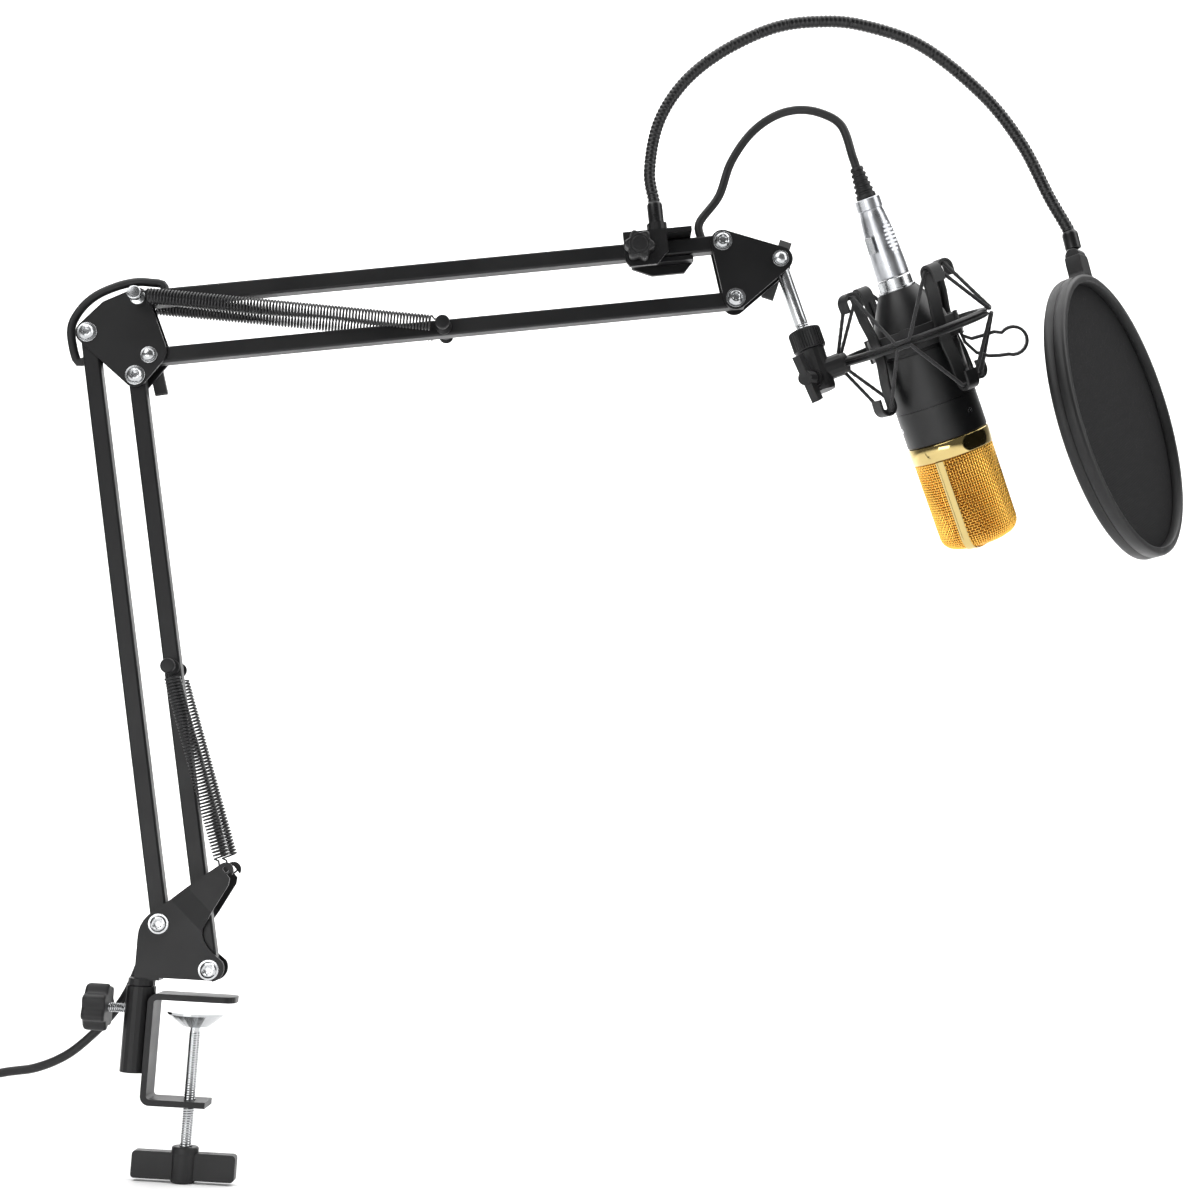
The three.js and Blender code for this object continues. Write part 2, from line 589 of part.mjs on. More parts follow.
// One finger of the cradle, drawn in r and z: a leg out from the band that folds over into a hook.
function hookFinger(up) {
  const t = 0.9;
  const shape = new THREE.Shape();
  shape.moveTo(BAND_R + 0.2, 0.5);
  shape.lineTo(BAND_R + 2 * t + 1, 0.5);
  shape.lineTo(29.6, HOOK_TOP);
  shape.absarc(33.2, HOOK_TOP, 3.6, Math.PI, 0, true);
  shape.lineTo(36.6, HOOK_TOP - 5);
  shape.lineTo(38.3, HOOK_TOP - 5);
  shape.lineTo(38.6, HOOK_TOP);
  shape.absarc(33.2, HOOK_TOP, 5.4, 0, Math.PI, false);
  const finger = slab(shape, -HOOK_WIDTH / 2, HOOK_WIDTH / 2, 3);
  return up ? finger : finger.rotateX(Math.PI);
}

function micCradle() {
  const band = turned(
    [[BAND_R, -6], [BAND_R + 2.2, -6], [BAND_R + 2.2, 6], [BAND_R, 6], [BAND_R, -6]],
    v3(0, 0, 0), v3(0, 0, 1), 24,
  );
  const fingers = HOOK_ANGLES.flatMap((a) => [true, false].map((up) => hookFinger(up).rotateZ(rad(a))));
  return join(band, ...fingers);
}

// An elastic cord: from hook to hook, over the outside of the ring between them, nearly all the way round.
function elastic(side) {
  const points = [];
  const at = (angle, r, z) => v3(r * Math.cos(rad(angle)), r * Math.sin(rad(angle)), z * side);
  for (const a of HOOK_ANGLES) {
    points.push(at(a - 8, 33.3, HOOK_TOP + 2), at(a + 8, 33.3, HOOK_TOP + 2));
    points.push(at(a + 36, RING_R + 3, 1.5), at(a + 54, RING_R + 3, 1.5));
  }
  points.push(at(HOOK_ANGLES[0] - 10.5, 33.6, HOOK_TOP + 1.6));
  return sweep(points, 1.1, 5, 60, 0);
}

add("shock_ring", shockRing(), "blackPlastic", mount);
add("mic_cradle", micCradle(), "blackPlastic", mount);
add("elastic_upper", elastic(1), "rubber", mount);
add("elastic_lower", elastic(-1), "rubber", mount);

const BODY_WALL = 2.2;

function micBody() {
  const inner = BODY_R - BODY_WALL;
  const shoulder = [[21.6, 3], [20.4, 9], [14.2, 22], [11.2, BODY_TOP]];
  const profile = [
    [inner, BODY_BOTTOM], [BODY_R, BODY_BOTTOM], [BODY_R, -8], ...shoulder,
    [NECK_R + GAP, BODY_TOP], [NECK_R + GAP, 23], [18, 8], [inner - 0.8, 0], [inner, -8],
    [inner, BODY_BOTTOM],
  ];
  return turned(profile, v3(0, 0, 0), v3(0, 0, 1), 28);
}

function tubeAlongZ(inner, outer, low, high, sides = 32) {
  const profile = [[inner, low], [outer, low], [outer, high], [inner, high], [inner, low]];
  return turned(profile, v3(0, 0, 0), v3(0, 0, 1), sides);
}

const TRIM_TOP = BODY_BOTTOM - GAP;
const TRIM_BOTTOM = TRIM_TOP - TRIM_HEIGHT;
const GRILLE_TOP = TRIM_BOTTOM - GAP;

// The grille's outside as a profile from its open top to the middle of its rounded end.
function grilleProfile(out) {
  const corner = 8;
  const bulge = 1.6;
  const wall = GRILLE_R - 0.4 + out;
  const end = GRILLE_END - out;
  const points = [[GRILLE_R + out, GRILLE_TOP], [wall, end + corner + bulge]];
  for (let i = 1; i <= 3; i++) {
    const a = (i / 3) * (Math.PI / 2) * 0.9;
    points.push([wall - corner * (1 - Math.cos(a)), end + bulge + corner * (1 - Math.sin(a))]);
  }
  points.push([7, end + 0.4], [0, end]);
  return points;
}

function domeShell(outer, inner) {
  const profile = [...grilleProfile(outer), ...grilleProfile(inner).toReversed()];
  return turned([...profile, profile[0]], v3(0, 0, 0), v3(0, 0, 1), 28);
}

function grilleStrap() {
  const shell = domeShell(1.1, GAP);
  const width = 4.8;
  return common(shell, block(-width / 2, width / 2, -40, 40, -140, 0)).rotateZ(rad(-37));
}

function capsule() {
  const plate = tubeAlongZ(0, 19.5, GRILLE_TOP - 2.2, GRILLE_TOP - 0.4, 28);
  const stem = block(-5, 5, -4, 4, -84, GRILLE_TOP - 2);
  const cell = rod(12, v3(0, -4, -93), v3(0, 4, -93), 28).rotateZ(rad(-37));
  return join(turned([[0, GRILLE_TOP - 2.2], [19.5, GRILLE_TOP - 2.2], [19.5, GRILLE_TOP - 0.4], [0, GRILLE_TOP - 0.4]]),
    stem.rotateZ(rad(-37)), cell);
}

function connectorInsert() {
  const pins = [90, 210, 330].map((a) => {
    const x = 3.9 * Math.cos(rad(a));
    const y = 3.9 * Math.sin(rad(a));
    return rod(1.1, v3(x, y, 26), v3(x, y, 41), 8);
  });
  return join(rod(NECK_R - 1.6, v3(0, 0, 19), v3(0, 0, 28), 24), ...pins);
}

add("mic_body", micBody(), "satinBlack", mount);
add("connector_ring", tubeAlongZ(NECK_R - 1.3, NECK_R, 23.4, 34.5, 22), "nickel", mount);
add("trim_ring", tubeAlongZ(TRIM_R - 2.6, TRIM_R, TRIM_BOTTOM, TRIM_TOP, 32), "gold", mount);
add("head_grille", domeShell(0, -GRILLE_WALL), "goldMesh", mount);
add("grille_strap", grilleStrap(), "gold", mount);
add("capsule", capsule(), "gold", mount);
add("circuit_board", block(-15, 15, -0.8, 0.8, -54, -6), "board", mount);
add("connector_insert", connectorInsert(), "blackPlastic", mount);

// ---- The lead's plug at the microphone ----
const PLUG_BOTTOM = 34.8;
const PLUG_TOP = 80;
const BOOT_TOP = 98;
const latchAngle = 215;

function plugShell() {
  const profile = [
    [7.4, PLUG_BOTTOM], [9.2, PLUG_BOTTOM], [8.9, 46], [8.3, 60], [6.6, 73.2],
    [7.1, 73.8], [7.1, PLUG_TOP], [3.4, PLUG_TOP], [3.4, 66], [7.4, 60], [7.4, PLUG_BOTTOM],
  ];
  const shell = turned(profile, v3(0, 0, 0), v3(0, 0, 1), 20);
  return cut(shell, block(7.6, 12, -2.6, 2.6, 50, 60).rotateZ(rad(latchAngle)));
}

function plugBoot() {
  const low = PLUG_TOP + GAP;
  const profile = [
    [LEAD_R + 0.2, low], [5.4, low], [5.1, low + 5], [4.3, BOOT_TOP - 5], [3.6, BOOT_TOP],
    [LEAD_R + 0.2, BOOT_TOP], [LEAD_R + 0.2, low],
  ];
  return turned(profile, v3(0, 0, 0), v3(0, 0, 1), 18);
}

add("plug_shell", plugShell(), "satinSilver", mount);
add("plug_boot", plugBoot(), "rubber", mount);
add("plug_latch", block(8.9, 10.2, -2.2, 2.2, 50.5, 59.5).rotateZ(rad(latchAngle)), "nickel", mount);

// ---- Pop filter ----
const popGroup = new THREE.Group();
const popAt = shift(elbowC, upperDir, POP_ALONG);
popGroup.position.set(popAt[0], 0, popAt[1]);
popGroup.rotation.y = -rad(UPPER_ANGLE);
root.add(popGroup);

const KNOB_X = -13; // the pop filter's knob, along the tube from the clamp's middle
const KNOB_Z = -2.5;
const SLEEVE_AT = v3(-1.5, -9, 12.5); // where the gooseneck stands on the clamp

// A folded strap round the tube, open below at the front, with a screw seat on its front leaf.
function popClamp() {
  const half = TUBE_WIDTH / 2 + 0.6;
  const sheet = 2.4;
  const front = -15.5;
  const backLeaf = new THREE.Shape();
  backLeaf.moveTo(-17, -7.5);
  [[-6, -12.5], [12, -12.5], [18, -6], [18, 5], [11.5, 12.5], [-6, 12.5], [-17, 7.5]]
    .forEach(([x, z]) => backLeaf.lineTo(x, z));
  const frontLeaf = new THREE.Shape();
  frontLeaf.moveTo(-19, -12);
  [[-4, -12], [3, -5], [3, half + sheet], [-21, half + sheet], [-21, -9]]
    .forEach(([x, z]) => frontLeaf.lineTo(x, z));
  const leaves = [
    block(-17, 17, front, half + sheet, half, half + sheet),
    slab(backLeaf, half, half + sheet),
    block(-17, 17, -3, half + sheet, -half - sheet, -half),
    slab(frontLeaf, front, front + sheet),
    rod(5.6, v3(SLEEVE_AT.x, SLEEVE_AT.y, half), v3(SLEEVE_AT.x, SLEEVE_AT.y, 12.2), 18),
  ];
  return cut(join(...leaves), rod(2.6, v3(KNOB_X, -30, KNOB_Z), v3(KNOB_X, -8, KNOB_Z), 12));
}

function popKnob() {
  const knob = lobedKnob(6, 8.6, 2, 9).rotateX(Math.PI / 2).translate(KNOB_X, -16.4, KNOB_Z);
  const screw = rod(2.2, v3(KNOB_X, -20, KNOB_Z), v3(KNOB_X, -8, KNOB_Z), 12);
  const foot = rod(4, v3(KNOB_X, -8.5, KNOB_Z), v3(KNOB_X, -TUBE_WIDTH / 2 - 0.6, KNOB_Z), 14);
  return join(knob, screw, foot);
}

add("pop_clamp", popClamp(), "blackSteel", popGroup);
add("pop_knob", popKnob(), "blackPlastic", popGroup);

const hoopGroup = new THREE.Group();
const turn = rad(HOOP_TURN);
const lean = rad(HOOP_LEAN);
const hoopUp = v3(-Math.sin(lean), 0, Math.cos(lean));
const hoopFace = v3(Math.cos(lean) * Math.cos(turn), -Math.sin(turn), Math.sin(lean) * Math.cos(turn));
const hoopSide = hoopUp.clone().cross(hoopFace);
hoopGroup.quaternion.setFromRotationMatrix(new THREE.Matrix4().makeBasis(hoopSide, hoopUp, hoopFace));
hoopGroup.position.set(...HOOP_CENTRE);
root.add(hoopGroup);

const sleeveFoot = SLEEVE_AT.clone().applyEuler(popGroup.rotation).add(popGroup.position);
const popUp = v3(0, 0, 1).applyEuler(popGroup.rotation);
const neckTop = v3(...HOOP_CENTRE).addScaledVector(hoopUp, NECK_TOP + GAP);

// The gooseneck's centreline: up from the clamp, over the microphone and down to the hoop's neck.
const gooseRoute = [
  sleeveFoot,
  sleeveFoot.clone().addScaledVector(popUp, 12),
  v3(213.5, -11, 464),
  v3(217, -13, 491),
  v3(229.6, -15, 514),
  v3(250, -17, 532.5),
  v3(277, -20, 546.5),
  v3(301.5, -22, 551),
  v3(326, -24, 549.6),
  v3(359, -26.5, 538.4),
  v3(392.5, -29, 512),
  v3(414.5, -30.5, 484.7),
  v3(430, -31.5, 455.7),
  neckTop.clone().addScaledVector(hoopUp, 10),
  neckTop,
];

function gooseneck() {
  const inner = [...gooseRoute];
  inner[0] = gooseRoute[0].clone().addScaledVector(popUp, 2);
  inner[inner.length - 1] = neckTop.clone().addScaledVector(hoopUp, 2);
  const tube = sweep(inner, GOOSE_R, 8, 46);
  const lowSleeve = rod(4.3, gooseRoute[0], gooseRoute[1], 12);
  const highSleeve = rod(4.3, neckTop, gooseRoute.at(-2), 12);
  return join(tube, lowSleeve, highSleeve);
}

function popHoop() {
  const half = HOOP_DEPTH / 2;
  const inner = HOOP_R - 4;
  const profile = [
    [inner, -half], [HOOP_R - 2, -half], [HOOP_R, -half + 2], [HOOP_R, half - 2],
    [HOOP_R - 2, half], [inner, half], [inner, -half],
  ];
  const ring = turned(profile, v3(0, 0, 0), v3(0, 0, 1), 44);
  const neck = block(-7, 7, HOOP_R - 2, NECK_TOP - NECK_ROUND, -NECK_ROUND, NECK_ROUND);
  const knuckleAt = NECK_TOP - NECK_ROUND;
  const knuckle = rod(NECK_ROUND, v3(-7, knuckleAt, 0), v3(7, knuckleAt, 0), 16);
  return join(ring, neck, knuckle);
}

add("gooseneck", gooseneck(), "blackSteel");
add("pop_hoop", popHoop(), "blackPlastic", hoopGroup);
add("pop_screen", rod(HOOP_R - 4.4, v3(0, 0, -0.6), v3(0, 0, 0.6), 44), "cloth", hoopGroup);

// ---- The lead, outside the tubes ----
const upNormal = [-upperDir[1], upperDir[0]];
const lowNormal = [-lowerDir[1], lowerDir[0]];
const surface = (from, dir, t, normal, out) => {
  const p = shift(shift(from, dir, t), normal, TUBE_WIDTH / 2 + out);
  return v3(p[0], 0, p[1]);
};
const inMount = (z) => mount.localToWorld(v3(0, 0, z));
root.updateMatrixWorld(true);

const loopRoute = [
  surface(elbowC, upperDir, LEAD_EXIT, upNormal, GAP),
  surface(elbowC, upperDir, LEAD_EXIT, upNormal, 9),
  v3(253, -1, 455),
  v3(258.5, -2.5, 474),
  v3(268, -5, 490),
  v3(280, -8, 500),
  v3(293, -12, 503.5),
  v3(306, -16, 501),
  v3(317.5, -19.5, 493),
  inMount(BOOT_TOP + 6),
  inMount(BOOT_TOP + GAP),
];
const elbowRoute = [
  surface(elbowC, upperDir, 14, upNormal, GAP),
  surface(elbowC, upperDir, 13, upNormal, 3.3),
  v3(-57.5, 0, 386.8),
  v3(-66, 0, 386.6),
  v3(-77, 0, 383.2),
  v3(-88, 0, 377),
  v3(-95.8, 0, 368),
  v3(-99.2, 0, 357),
  surface(BASE_A, lowerDir, TUBE_LENGTH - 13, lowNormal, 4.4),
  surface(BASE_A, lowerDir, TUBE_LENGTH - 14, lowNormal, GAP),
];
const tailAt = shift(BASE_A, lowerDir, TAIL_EXIT);
const tailStart = v3(tailAt[0], TUBE_WIDTH / 2 + GAP, tailAt[1]);
const tailRoute = [
  tailStart,
  v3(tailStart.x, tailStart.y + 3.6, tailStart.z - 0.6),
  v3(-27.2, 11.5, 49.5),
  v3(-28.6, 12.6, 42),
  v3(-31, 13, 30),
  v3(-34.6, 14, 17),
  v3(-40.6, 16, 1),
  v3(-48.4, 18.2, -11.5),
  v3(-58.3, 20, -23),
  v3(-71.5, 21.5, -34.7),
  v3(-87.6, 23.5, -42.5),
  v3(-104, 26, -46),
  v3(-118, 28.5, -50),
  v3(-130, 31, -57),
  v3(-139, 33, -66.5),
  v3(-146.5, 34.5, -77.5),
  v3(-155, 35, -86.5),
  v3(-166, 35, FLOOR_Z + LEAD_R + 0.2),
  v3(-179, 35, FLOOR_Z + LEAD_R + 0.2),
];
add("lead_loop", sweep(loopRoute, LEAD_R, 8, 16), "rubber");
add("lead_elbow", sweep(elbowRoute, LEAD_R, 8, 10), "rubber");
add("lead_tail", sweep(tailRoute, LEAD_R, 8, 24), "rubber");

const COIL_HALF_WIDTH = 4 * LEAD_R;
const COIL_HEIGHT = 4 * LEAD_R;
const coilLeft = COIL_CENTRE[0] - COIL_MEAN_R - COIL_HALF_WIDTH + LEAD_R;
const farPlugAt = v3(coilLeft, COIL_CENTRE[1] - 21.5, FLOOR_Z + 9.4);

// The coil as a plain ring, with the straight end of the lead that runs on to the far plug.
function leadCoil() {
  const [x, y] = COIL_CENTRE;
  const top = FLOOR_Z + COIL_HEIGHT;
  const inner = COIL_MEAN_R - COIL_HALF_WIDTH;
  const outer = COIL_MEAN_R + COIL_HALF_WIDTH;
  const ring = tubeAlongZ(inner, outer, FLOOR_Z, top, 28).translate(x, y, 0);
  const plugEnd = v3(farPlugAt.x, farPlugAt.y + GAP, farPlugAt.z);
  const end = rod(LEAD_R, v3(coilLeft, y, top - LEAD_R), plugEnd, 8);
  return join(ring, end);
}

// The far plug lies on the floor beside the coil: boot first, then its shell.
function farPlug() {
  const profile = [
    [0, 0], [3.4, 0], [5, 19], [7, 20], [7, 26], [8.2, 28], [9.4, 38], [9.4, 72], [0, 72],
  ];
  return turned(profile, farPlugAt, v3(0, -1, 0), 24);
}
add("lead_coil", leadCoil(), "rubber");
add("lead_plug", farPlug(), "satinSilver");

export default root;
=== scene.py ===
"""Looks for a condenser microphone in a shock mount, on a clamped desk arm with a pop filter and its lead.

Metres, +Z up. The origin is on the underside of the clamp's upper jaw; -Y is the front.
Local shapes are drawn in millimetres, and a matrix puts them in place.
"""

import json
from math import copysign, cos, dist, hypot, pi, radians, sin, sqrt

import bmesh
import bpy
from mathutils import Matrix, Vector


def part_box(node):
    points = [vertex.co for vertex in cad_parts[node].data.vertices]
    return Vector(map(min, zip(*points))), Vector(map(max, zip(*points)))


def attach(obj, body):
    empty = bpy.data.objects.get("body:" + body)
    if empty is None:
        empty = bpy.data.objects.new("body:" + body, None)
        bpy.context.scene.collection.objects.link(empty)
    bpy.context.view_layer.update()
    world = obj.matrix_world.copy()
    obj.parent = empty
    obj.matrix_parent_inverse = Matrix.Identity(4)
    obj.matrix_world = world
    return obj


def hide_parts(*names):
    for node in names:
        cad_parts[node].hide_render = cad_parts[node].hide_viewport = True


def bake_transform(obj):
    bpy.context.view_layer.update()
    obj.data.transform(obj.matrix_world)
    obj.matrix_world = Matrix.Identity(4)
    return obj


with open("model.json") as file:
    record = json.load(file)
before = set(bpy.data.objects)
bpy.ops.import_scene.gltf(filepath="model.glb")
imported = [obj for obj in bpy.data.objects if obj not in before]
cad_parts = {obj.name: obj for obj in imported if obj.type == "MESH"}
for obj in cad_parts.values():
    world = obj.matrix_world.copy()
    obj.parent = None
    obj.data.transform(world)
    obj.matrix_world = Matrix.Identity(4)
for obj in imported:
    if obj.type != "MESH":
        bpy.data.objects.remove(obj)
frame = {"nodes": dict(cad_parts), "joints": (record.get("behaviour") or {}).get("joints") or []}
NODES = frame["nodes"]
JOINTS = {j["name"]: j for j in frame["joints"]}
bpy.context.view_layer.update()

MM = 0.001
ORIGIN = Vector((0, 0, 0))
X = Vector((1, 0, 0))
Y = Vector((0, 1, 0))
Z = Vector((0, 0, 1))
FRONT = Vector((0, -1, 0))
BACK = Y


# ---- Places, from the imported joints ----
def pivot(name):
    return Vector(JOINTS[name]["pos_m"])


def axis_of(name):
    return Vector(JOINTS[name]["axis"]).normalized()


def mm(x, y, z):
    return Vector((x, y, z)) * MM


BASE_A = pivot("lower_tilt")
BASE_B = pivot("lower_tilt_b")
ELBOW_A = pivot("elbow_level")
ELBOW_B = ELBOW_A + BASE_B - BASE_A
ELBOW_C = pivot("upper_tilt")
ELBOW_D = pivot("upper_tilt_d")
HEAD_C = pivot("head_level")
HEAD_D = HEAD_C + ELBOW_D - ELBOW_C
TILT = pivot("head_tilt")
RING = pivot("mount_roll")
MOUNT_X = axis_of("mount_roll")
MOUNT_Z = axis_of("suspension")
MOUNT_Y = MOUNT_Z.cross(MOUNT_X)
STUD_Z = axis_of("collar_turn")
LOWER_DIR = (ELBOW_A - BASE_A).normalized()
UPPER_DIR = (HEAD_C - ELBOW_C).normalized()
LOWER_PIN = (BASE_B + ELBOW_B) / 2
UPPER_PIN = (ELBOW_D + HEAD_D) / 2
BASE_HOOK = mm(11, 0, 69.8)
SPRING_Y = 11.5 * MM
TUBE_HALF = 4.5 * MM
SEAT = 6.55 * MM
GAP = 0.3
FLOOR_Z = -93.4 * MM


def placed(origin, x, y, z):
    """The matrix that takes local millimetres to the row frame."""
    turn = Matrix((x, y, z)).transposed().to_4x4()
    return Matrix.Translation(origin) @ turn @ Matrix.Scale(MM, 4)


def facing(origin, direction, up=(0, 0, 1)):
    """A matrix whose local Z runs along direction."""
    z = Vector(direction).normalized()
    x = Vector(up).cross(z)
    if x.length < 1e-6:
        x = X.copy()
    x.normalize()
    return placed(origin, x, z.cross(x), z)


MOUNT = placed(RING, MOUNT_X, MOUNT_Y, MOUNT_Z)
UPRIGHT = placed(ORIGIN, X, Y, Z)


# ---- Camera ----
CAMERA_AT = Vector((0.1934, -1.026, 0.1001))
CAMERA_YAW = radians(0.368)
CAMERA_PITCH = radians(6.95)
CAMERA_ROLL = radians(3.318)
CAMERA_LENS = 57.1


def make_camera():
    data = bpy.data.cameras.new("camera")
    data.lens = CAMERA_LENS
    data.sensor_width = 36
    data.clip_end = 20
    camera = bpy.data.objects.new("camera", data)
    bpy.context.scene.collection.objects.link(camera)
    level = cos(CAMERA_PITCH)
    ahead = Vector((sin(CAMERA_YAW) * level, cos(CAMERA_YAW) * level, sin(CAMERA_PITCH)))
    level_right = Vector((cos(CAMERA_YAW), -sin(CAMERA_YAW), 0))
    level_up = level_right.cross(ahead)
    right = level_right * cos(CAMERA_ROLL) + level_up * sin(CAMERA_ROLL)
    up = level_up * cos(CAMERA_ROLL) - level_right * sin(CAMERA_ROLL)
    turn = Matrix((right, up, -ahead)).transposed().to_4x4()
    camera.matrix_world = Matrix.Translation(CAMERA_AT) @ turn
    bpy.context.scene.camera = camera
    bpy.context.scene.view_settings.view_transform = "Standard"


make_camera()


# ---- Materials ----
def new_material(name, color, roughness, metallic=0.0, **sockets):
    """A material and its shader, with the constants on the shader's own sockets."""
    material = bpy.data.materials.new(name)
    material.use_nodes = True
    shader = material.node_tree.nodes["Principled BSDF"]
    shader.inputs["Base Color"].default_value = (*color, 1)
    shader.inputs["Roughness"].default_value = roughness
    shader.inputs["Metallic"].default_value = metallic
    for socket, value in sockets.items():
        shader.inputs[socket.replace("_", " ")].default_value = value
    return material, shader


def node(material, kind, **values):
    made = material.node_tree.nodes.new(kind)
    for name, value in values.items():
        if name in made.inputs:
            made.inputs[name].default_value = value
        else:
            setattr(made, name, value)
    return made


def link(material, source, target):
    material.node_tree.links.new(source, target)


def noise_in(material, scale, detail):
    """The output of a noise in the object's own coordinates."""
    place = node(material, "ShaderNodeTexCoord")
    noise = node(material, "ShaderNodeTexNoise", Scale=scale, Detail=detail)
    link(material, place.outputs["Object"], noise.inputs["Vector"])
    return noise.outputs["Fac"]


def add_grain(material, shader, scale, bump, distance):
    """Fine noise in the surface's height."""
    height = node(material, "ShaderNodeBump", Strength=bump, Distance=distance)
    link(material, noise_in(material, scale, 3.0), height.inputs["Height"])
    link(material, height.outputs["Normal"], shader.inputs["Normal"])


def add_wear(material, shader, scale, low, high):
    """Roughness that varies slowly between low and high."""
    span = node(material, "ShaderNodeMapRange")
    span.inputs["From Min"].default_value = 0.3
    span.inputs["From Max"].default_value = 0.7
    span.inputs["To Min"].default_value = low
    span.inputs["To Max"].default_value = high
    link(material, noise_in(material, scale, 4.0), span.inputs["Value"])
    link(material, span.outputs["Result"], shader.inputs["Roughness"])


def add_tint(material, shader, scale, dark, light):
    """A colour that varies slowly between two."""
    ramp = node(material, "ShaderNodeValToRGB")
    for stop, position, color in zip(ramp.color_ramp.elements, (0.35, 0.65), (dark, light)):
        stop.position = position
        stop.color = (*color, 1)
    link(material, noise_in(material, scale, 4.0), ramp.inputs["Fac"])
    link(material, ramp.outputs["Color"], shader.inputs["Base Color"])


def add_weave(material, shader, directions, scale, strength):
    """Crossed waves in the surface's height."""
    place = node(material, "ShaderNodeTexCoord")
    height = None
    for direction in directions:
        wave = node(material, "ShaderNodeTexWave", bands_direction=direction, Scale=scale)
        link(material, place.outputs["Object"], wave.inputs["Vector"])
        bump = node(material, "ShaderNodeBump", Strength=strength, Distance=0.0002)
        link(material, wave.outputs["Fac"], bump.inputs["Height"])
        if height is not None:
            link(material, height, bump.inputs["Normal"])
        height = bump.outputs["Normal"]
    link(material, height, shader.inputs["Normal"])


def surface(name, color, roughness, metallic=0.0, grain=(), wear=(), tint=(), weave=(), **sockets):
    """A material with surface detail; grain, wear, tint and weave hold values for the functions above."""
    material, shader = new_material(name, color, roughness, metallic, **sockets)
    for add, values in ((add_grain, grain), (add_wear, wear), (add_tint, tint), (add_weave, weave)):
        if values:
            add(material, shader, *values)
    return material


def powder_coat():
    tint = (18, (0.0035, 0.0035, 0.004), (0.0055, 0.0055, 0.006))
    grain = (2600, 0.25, 0.00008)
    black = (0.0045, 0.0045, 0.005)
    return surface("powder_coat", black, 0.4, 0, grain, (35, 0.36, 0.48), tint, Specular_IOR_Level=0.32)


def nickel_plate():
    return surface("nickel_plate", (0.50, 0.51, 0.52), 0.2, 1.0, (900, 0.06, 0.00005), (120, 0.14, 0.28))


def moulded_plastic():
    black = (0.006, 0.006, 0.0065)
    grain = (1900, 0.35, 0.0001)
    return surface("moulded_plastic", black, 0.42, 0, grain, (60, 0.4, 0.52), Specular_IOR_Level=0.38)


def spring_wire():
    return surface("spring_wire", (0.018, 0.018, 0.019), 0.33, 0.4, (1500, 0.1, 0.00005), (200, 0.24, 0.38))


def body_enamel():
    black = (0.0045, 0.0045, 0.005)
    grain = (3800, 0.22, 0.00005)
    return surface("body_enamel", black, 0.33, 0, grain, (70, 0.33, 0.43), Specular_IOR_Level=0.42)


def gold_plate():
    return surface("gold_plate", (0.58, 0.45, 0.19), 0.09, 1.0, (500, 0.03, 0.00005), (90, 0.06, 0.13))


def gold_wire():
    return surface("gold_wire", (0.92, 0.52, 0.10), 0.25, 1.0, (1500, 0.08, 0.00004), (150, 0.18, 0.3))


def fine_gold_gauze():
    """The fine gauze behind the coarse wire."""
    tint = (900, (0.20, 0.065, 0.003), (0.36, 0.14, 0.01))
    weave = ("XYZ", 420.0, 0.35)
    return surface("fine_gold_gauze", (0.28, 0.1, 0.006), 0.5, 0.4, tint=tint, weave=weave)


def satin_silver():
    return surface("satin_silver", (0.44, 0.45, 0.47), 0.3, 1.0, (1200, 0.08, 0.00005), (160, 0.25, 0.37))


def cable_rubber():
    black = (0.007, 0.007, 0.0075)
    grain = (1400, 0.2, 0.0001)
    return surface("cable_rubber", black, 0.45, 0, grain, (90, 0.42, 0.58), Specular_IOR_Level=0.38)


def braided_cord():
    black = (0.010, 0.010, 0.011)
    return surface("braided_cord", black, 0.75, 0, (2400, 0.8, 0.0003), (300, 0.65, 0.85), Sheen_Weight=0.15)


def gooseneck_coat():
    black = (0.004, 0.004, 0.0045)
    grain = (1800, 0.1, 0.00005)
    return surface("gooseneck_coat", black, 0.28, 0, grain, (140, 0.25, 0.36), Specular_IOR_Level=0.42)


def nylon_mesh():
    black = (0.0045, 0.0045, 0.005)
    return surface("nylon_mesh", black, 0.85, weave=("XZ", 330.0, 0.5), Specular_IOR_Level=0.2)


def solder_mask():
    tint = (160, (0.015, 0.10, 0.04), (0.03, 0.16, 0.06))
    return surface("solder_mask", (0.02, 0.13, 0.05), 0.4, 0, (600, 0.2, 0.0001), tint=tint)


STEEL = powder_coat()
NICKEL = nickel_plate()
PLASTIC = moulded_plastic()
SPRING = spring_wire()
ENAMEL = body_enamel()
GOLD = gold_plate()
WIRE = gold_wire()
GAUZE = fine_gold_gauze()
SILVER = satin_silver()
RUBBER = cable_rubber()
BRAID = braided_cord()
NECK = gooseneck_coat()
NYLON = nylon_mesh()
BOARD = solder_mask()


# ---- Mesh helpers ----
def round_angles(count):
    return [2 * pi * i / count for i in range(count)]


def polar(radius, angle, height):
    return (radius * cos(angle), radius * sin(angle), height)


